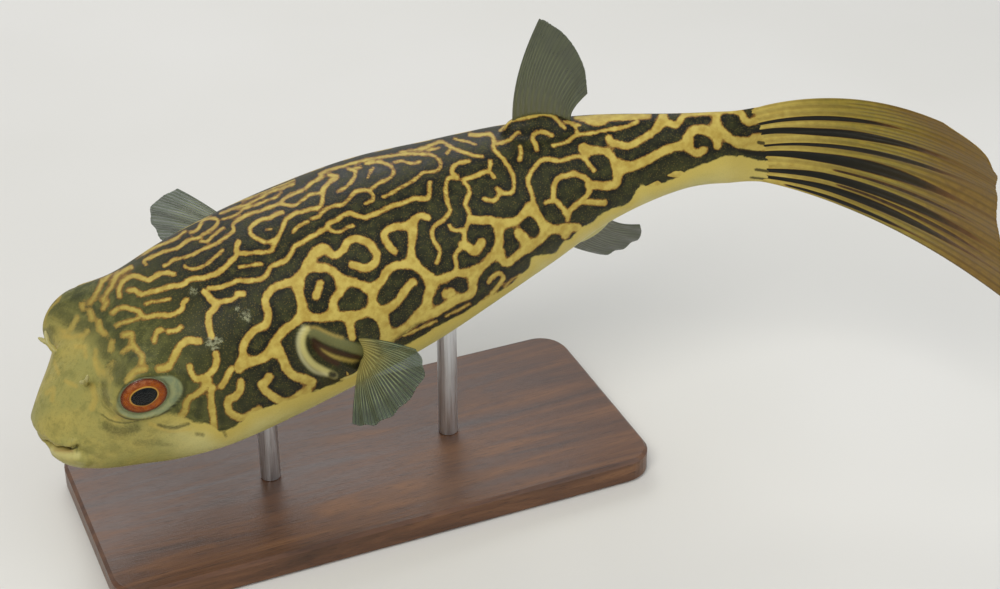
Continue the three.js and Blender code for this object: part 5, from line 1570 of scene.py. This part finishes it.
TAIL_FIN = {
    "root_x": 1.008, "root_top": 0.0635, "root_bottom": -0.0545,
    "up": math.radians(10), "down": math.radians(26),
    "lengths": [0.29, 0.35, 0.355, 0.345, 0.335, 0.328, 0.33, 0.345, 0.348],
    "curl": 0.93, "skew": 0.2, "power": 0.6, "curl_length": 0.35, "droop": 0.075, "steps": 12,
}
FIN_THICK = {"ray": 0.5, "web": 0.32, "margin_ray": 0.28, "margin_web": 0.2}  # mm, half of each
FIRST_FORK, SECOND_FORK = (0.38, 0.52), (0.72, 0.9)  # shares of a ray's length, over which it forks
COLUMNS_PER_RAY = 12
# The tail fin's stripes: where each lies from the top ray (-1) to the bottom one (1), at the root and
# further out, where it starts and is widest along the rays, where it fades, its half width and how dark it is
TAIL_STRIPES = [
    (-0.585, -0.585, 0.03, 0.3, 0.66, 0.048, 0.85),
    (-0.38, -0.27, 0.0, 0.38, 0.84, 0.0816, 1.0),
    (0.0, 0.02, 0.0, 0.5, 0.92, 0.036, 0.8),
    (0.2, 0.24, 0.0, 0.42, 0.9, 0.0792, 1.0),
    (0.43, 0.42, 0.3, 0.6, 1.0, 0.024, 0.6),
    (0.66, 0.57, 0.0, 0.42, 0.98, 0.06, 1.0),
    (0.7, 0.67, 0.3, 0.65, 1.0, 0.024, 0.6),
    (0.84, 0.77, 0.0, 0.4, 0.95, 0.0528, 1.0),
    (0.95, 0.93, 0.1, 0.34, 0.7, 0.0312, 0.9),
]
STRIPE_SETTLES = 0.3  # how far out along the rays a stripe has reached its outer place


def ray_sheet(fin):
    """A fin's middle sheet from its root and margin: u runs across the rays, v out along them."""
    def sheet(u, v):
        start = spline(fin["root"], u * (len(fin["root"]) - 1))
        end = spline(fin["margin"], u * (len(fin["margin"]) - 1))
        sunk = FIN_SINK / np.linalg.norm(end - start, axis=-1)
        along = v * (1 + sunk) - sunk
        bulge = 4 * np.maximum(0, along) * (1 - along)
        x, y, z = split(start + (end - start) * along[..., None] + bulge[..., None] * np.array(fin["bow"]))
        hinge, swing = fin["root"][1][2], fin.get("swing", 0)
        drop = hinge - z
        return place(np.stack([x, y - drop * math.sin(swing), hinge - drop * math.cos(swing)], -1))
    return sheet


def tail_sheet(u, v):
    """The tail fin's middle sheet: a fan that curls to the fish's left and droops."""
    fin = TAIL_FIN
    across = 2 * u - 1
    angle = -across * np.where(across < 0, fin["up"], fin["down"])
    length = spline(np.array(fin["lengths"])[:, None], u * (len(fin["lengths"]) - 1))[..., 0]
    reach = v * (length + 2 * FIN_SINK) - 2 * FIN_SINK
    height = mix(fin["root_top"], fin["root_bottom"], u) + reach * np.sin(angle)
    along = reach * np.cos(angle)
    curl = fin["curl"] - fin["skew"] * across
    root = bend(np.array([fin["root_x"], 0, 0]))
    x, y = root[0] + 0 * along, root[1] + 0 * along
    for i in range(fin["steps"]):
        share = np.maximum(0, (i + 0.5) / fin["steps"] * along) / fin["curl_length"]
        turn = TAIL_TURN + curl * share ** fin["power"]
        x = x + np.cos(turn) * along / fin["steps"]
        y = y + np.sin(turn) * along / fin["steps"]
    droop = fin["droop"] * np.maximum(0, along) ** 2 / fin["curl_length"]
    return pose(np.stack([x, y, height - droop], -1))


def ray_pattern(u, v, rays):
    """1 on the rays and 0 between them; each ray forks on its way out, and forks faintly once more."""
    counts = (rays, 2 * rays, 4 * rays)
    once, twice, again = (0.5 - 0.5 * np.cos(2 * math.pi * count * u) for count in counts)
    return mix(mix(once, twice, smooth(*FIRST_FORK, v)), again, 0.5 * smooth(*SECOND_FORK, v))


def tail_stripes(u, v):
    """How dark the tail fin's stripes are, from 0 to 1."""
    dark = np.zeros_like(u)
    for root, out, start, peak, end, half, strength in TAIL_STRIPES:
        off = np.abs(2 * u - 1 - mix(root, out, smooth(0, STRIPE_SETTLES, v)))
        width = half * mix(0.75, 1.0, smooth(start, peak, v)) * mix(1.0, 0.3, smooth(peak, end, v))
        shape = 1 - smooth(width * 0.75, width * 1.35, off)
        fade = (smooth(start, start + 0.05, v) if start > 0 else 1) * (1 - 0.75 * smooth(peak + 0.1, end, v))
        dark = np.maximum(dark, strength * shape * fade)
    return dark


def there_and_back(field):
    """A sheet's values on its one face and then, the other way round, on its other face."""
    return np.concatenate([field, field[:, ::-1]], 1)


def fin_piece(name, sheet, rays, material, rows, ripple, seed, fray=0.008, stripes=None):
    """A fin as one closed sheet, thicker on its rays, gently rippled in mm and frayed at its margin."""
    columns = rays * COLUMNS_PER_RAY + 1
    v, u = np.meshgrid(np.linspace(0, 1, rows), np.linspace(0, 1, columns), indexing="ij")
    rng = np.random.default_rng(seed)
    tips = np.interp(u[0], np.linspace(0, 1, 4 * rays + 1), rng.uniform(0, 1, 4 * rays + 1))
    edge = 1 - fray * (0.5 * tips + 0.5 * (1 - ray_pattern(u[:1], np.ones((1, columns)), rays)))
    middle = sheet(u, v * mix(1.0, edge, smooth(0.5, 1.0, v)))
    normals = grid_normals(middle, False)
    phase = rng.uniform(0, 6)
    wave = ripple * MM * smooth(0.15, 1, v) * np.sin(2 * math.pi * (rays * 0.37 * u + 0.6 * v) + phase)
    middle = middle + wave[..., None] * normals
    pattern = ray_pattern(u, v, rays)
    t = FIN_THICK
    half = mix(mix(t["web"], t["margin_web"], v), mix(t["ray"], t["margin_ray"], v), pattern**2) * MM
    offset = half[..., None] * normals
    loop = np.concatenate([middle + offset, (middle - offset)[:, ::-1]], 1)
    faces, corners = grid_faces(rows, 2 * columns, True)
    for row in (0, rows - 1):
        base = row * 2 * columns
        for column in range(columns - 1):
            near, far = base + column, base + 2 * columns - 1 - column
            quad = (near, far, far - 1, near + 1)
            faces.append(quad if row == 0 else (near, near + 1, far - 1, far))
            corners += [(row / (rows - 1), column / (2 * columns))] * 4
    fields = {"ray": there_and_back(pattern), "out": there_and_back(v)}
    if stripes is not None:
        fields["stripe"] = there_and_back(stripes(u, v))
    return make_piece(name + "_sheet", loop, faces, corners, fields, material, [name])


ROOT_TINT = 0.65  # how far out along a clear fin its root's colour reaches


def clear_fin_material(name, membrane, ray_colour, root_colour, alpha):
    finish = Finish(name, 0.4)
    out, ray = finish.attribute("out"), finish.attribute("ray")
    mottle = finish.noise(240, 4)
    colour = finish.fade(mottle, 0.3, 0.7, membrane, tuple(part * 1.35 for part in membrane[:3]) + (1,))
    colour = finish.fade(ray, 0.5, 1.0, colour, ray_colour, 0.75)
    colour = finish.fade(out, ROOT_TINT, 0.06, colour, root_colour)
    ray_alpha = finish.step(ray, 0.3, 1.0, alpha, 0.92)
    root_alpha = finish.step(out, 0.3, 0.1, 0.0, 1.0)
    finish.set("Alpha", finish.math("MAXIMUM", ray_alpha, root_alpha))
    relief = finish.plus(ray, finish.noise(300, 3))
    return finish.finished(colour, (mottle, 0.3, 0.7, 0.32, 0.46), (relief, 0.0001, 0.3))


def tail_material():
    finish = Finish("tail_fin_skin", 0.42, Specular_IOR_Level=0.2)
    out, ray, stripe = (finish.attribute(name) for name in ("out", "ray", "stripe"))
    grain = finish.noise(320, 4)
    root = finish.fade(grain, 0.1, 0.8, LINE_OCHRE, LINE_PALE)
    middle = finish.fade(grain, 0.3, 0.7, linear(140, 126, 52), linear(158, 138, 56))
    outer = finish.fade(grain, 0.3, 0.7, linear(120, 92, 38), linear(136, 108, 46))
    ground = finish.fade(out, 0.1, 0.45, root, middle)
    ground = finish.fade(out, 0.5, 0.85, ground, outer)
    between = finish.times(finish.step(ray, 0.75, 0.15), finish.step(out, 0.1, 0.7, 0.2, 0.55))
    ground = finish.blend(between, ground, linear(92, 72, 30))
    dark = finish.fade(out, 0.3, 0.75, DARK_EDGE, linear(46, 38, 18))
    ragged = finish.plus(stripe, finish.times(finish.math("SUBTRACT", grain, 0.5), 0.3))
    colour = finish.fade(ragged, 0.12, 0.42, ground, linear(98, 66, 30))
    colour = finish.fade(ragged, 0.3, 0.75, colour, dark)
    relief = finish.plus(ray, finish.noise(800, 3))
    return finish.finished(colour, (grain, 0.3, 0.7, 0.36, 0.5), (relief, 0.00015, 0.4))


# ---- Stand --------------------------------------------------------------------------------------------

def wood_material():
    finish = Finish("stained_wood", 0.35, Specular_IOR_Level=0.45)
    grain = finish.noise(1.6, 6, 0.6, finish.position((6, 60, 60)), 1.2)
    pores = finish.noise(14, 3, 0.6, finish.position((8, 130, 130)))
    stops = [(0.28, linear(58, 36, 22)), (0.5, linear(92, 60, 38)), (0.72, linear(122, 84, 54))]
    colour = finish.ramp(grain, stops)
    colour = finish.fade(pores, 0.56, 0.66, colour, linear(40, 24, 14), 0.55)
    return finish.finished(colour, (grain, 0.3, 0.7, 0.3, 0.44), (finish.plus(grain, pores), 0.0003, 0.35))


def steel_material():
    finish = Finish("brushed_steel_rod", 0.3, Metallic=1.0)
    brushed = finish.noise(30, 4, 0.6, finish.position((60, 60, 1.5)))
    colour = finish.fade(brushed, 0.3, 0.7, linear(206, 208, 210), linear(232, 234, 236))
    return finish.finished(colour, (brushed, 0.3, 0.7, 0.34, 0.5), (brushed, 0.0001, 0.4))


def dress_node(name, material):
    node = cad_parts[name]
    if not node.material_slots:
        node.data.materials.append(material)
    for slot in node.material_slots:
        slot.material = material


# ---- Floor, light and camera --------------------------------------------------------------------------

FLOOR_REACH = 6.0  # m
SKY_COLOUR, SKY_STRENGTH = (0.93, 0.96, 1.0, 1), 0.5
# Lamps: place and size in m, power in W, and colour
LAMPS = (
    ("key", (-0.75, -0.85, 1.35), 0.9, 15, (1.0, 0.97, 0.92)),
    ("fill", (0.9, -0.7, 0.7), 1.2, 5, (0.92, 0.96, 1.0)),
    ("back", (0.2, 1.1, 1.1), 1.0, 7, (1.0, 1.0, 1.0)),
)


def build_floor():
    mesh = bpy.data.meshes.new("floor")
    corners = [(x * FLOOR_REACH, y * FLOOR_REACH, 0) for x, y in ((-1, -1), (1, -1), (1, 1), (-1, 1))]
    mesh.from_pydata(corners, [], [(0, 1, 2, 3)])
    finish = Finish("floor_paper", 0.85, Specular_IOR_Level=0.2)
    paper = finish.fade(finish.noise(3, 3), 0.3, 0.7, linear(216, 214, 208), linear(220, 218, 213))
    finish.set("Base Color", paper)
    mesh.materials.append(finish.material)
    floor = bpy.data.objects.new("floor", mesh)
    bpy.context.scene.collection.objects.link(floor)


def add_object(name, data, right, up, back, at):
    """A lamp or camera that looks away from back."""
    made = bpy.data.objects.new(name, data)
    columns = [[*right, 0], [*up, 0], [*back, 0], [*at, 1]]
    made.matrix_world = Matrix(columns).transposed()
    bpy.context.scene.collection.objects.link(made)
    return made


def add_lamp(name, at, size, power, tint):
    data = bpy.data.lights.new(name, "AREA")
    data.shape = "DISK"
    data.size = size
    data.energy = power
    data.color = tint
    back = unit(np.array(at) - CAMERA_TARGET)
    right = unit(np.cross([0, 0, 1], back))
    add_object(name, data, right, np.cross(back, right), back, at)


def build_studio():
    build_floor()
    world = bpy.data.worlds.new("studio")
    world.use_nodes = True
    sky = world.node_tree.nodes["Background"]
    sky.inputs["Color"].default_value = SKY_COLOUR
    sky.inputs["Strength"].default_value = SKY_STRENGTH
    for lamp in LAMPS:
        add_lamp(*lamp)
    data = bpy.data.cameras.new("camera")
    data.sensor_fit = "HORIZONTAL"
    data.angle = CAMERA_FOV
    data.clip_start = 0.01
    scene = bpy.context.scene
    scene.camera = add_object("camera", data, CAMERA_RIGHT, CAMERA_UP, CAMERA_BACK, CAMERA_PLACE)
    scene.world = world
    scene.view_settings.view_transform = "Standard"


# ---- The whole ----------------------------------------------------------------------------------------

def build_head_parts():
    iris, cornea, nasal = iris_material(), cornea_material(), tentacle_material()
    for side, word in SIDES:
        turned_piece(f"eyeball_{word}", EYEBALL, side, 6, iris, iris_fields, [f"eye_{word}"])
        turned_piece(f"cornea_{word}", CORNEA, side, 3, cornea, lambda radius, back, up: {})
        tentacle(side, word, nasal)


def build_fins():
    grey_colours = linear(60, 65, 42), linear(104, 108, 74), linear(84, 84, 48)
    teal_colours = linear(50, 66, 50), linear(150, 156, 112), linear(178, 164, 90)
    grey = clear_fin_material("grey_fin", *grey_colours, 0.8)
    teal = clear_fin_material("teal_fin", *teal_colours, 0.55)
    fin_piece("dorsal_fin", ray_sheet(DORSAL_FIN), 11, grey, 70, 0.5, 3)
    fin_piece("anal_fin", ray_sheet(ANAL_FIN), 10, grey, 70, 0.5, 4)
    fin_piece("pectoral_fin_left", ray_sheet(PECTORAL_LEFT), 16, teal, 60, 0.8, 5)
    fin_piece("pectoral_fin_right", ray_sheet(PECTORAL_RIGHT), 16, teal, 60, 0.8, 6)
    fin_piece("caudal_fin", tail_sheet, 13, tail_material(), 120, 0.5, 8, 0.004, tail_stripes)


build_skin(skin_material())
build_head_parts()
build_fins()
dress_node("stand_base", wood_material())
for rod in ("stand_rod_front", "stand_rod_rear"):
    dress_node(rod, steel_material())
build_studio()
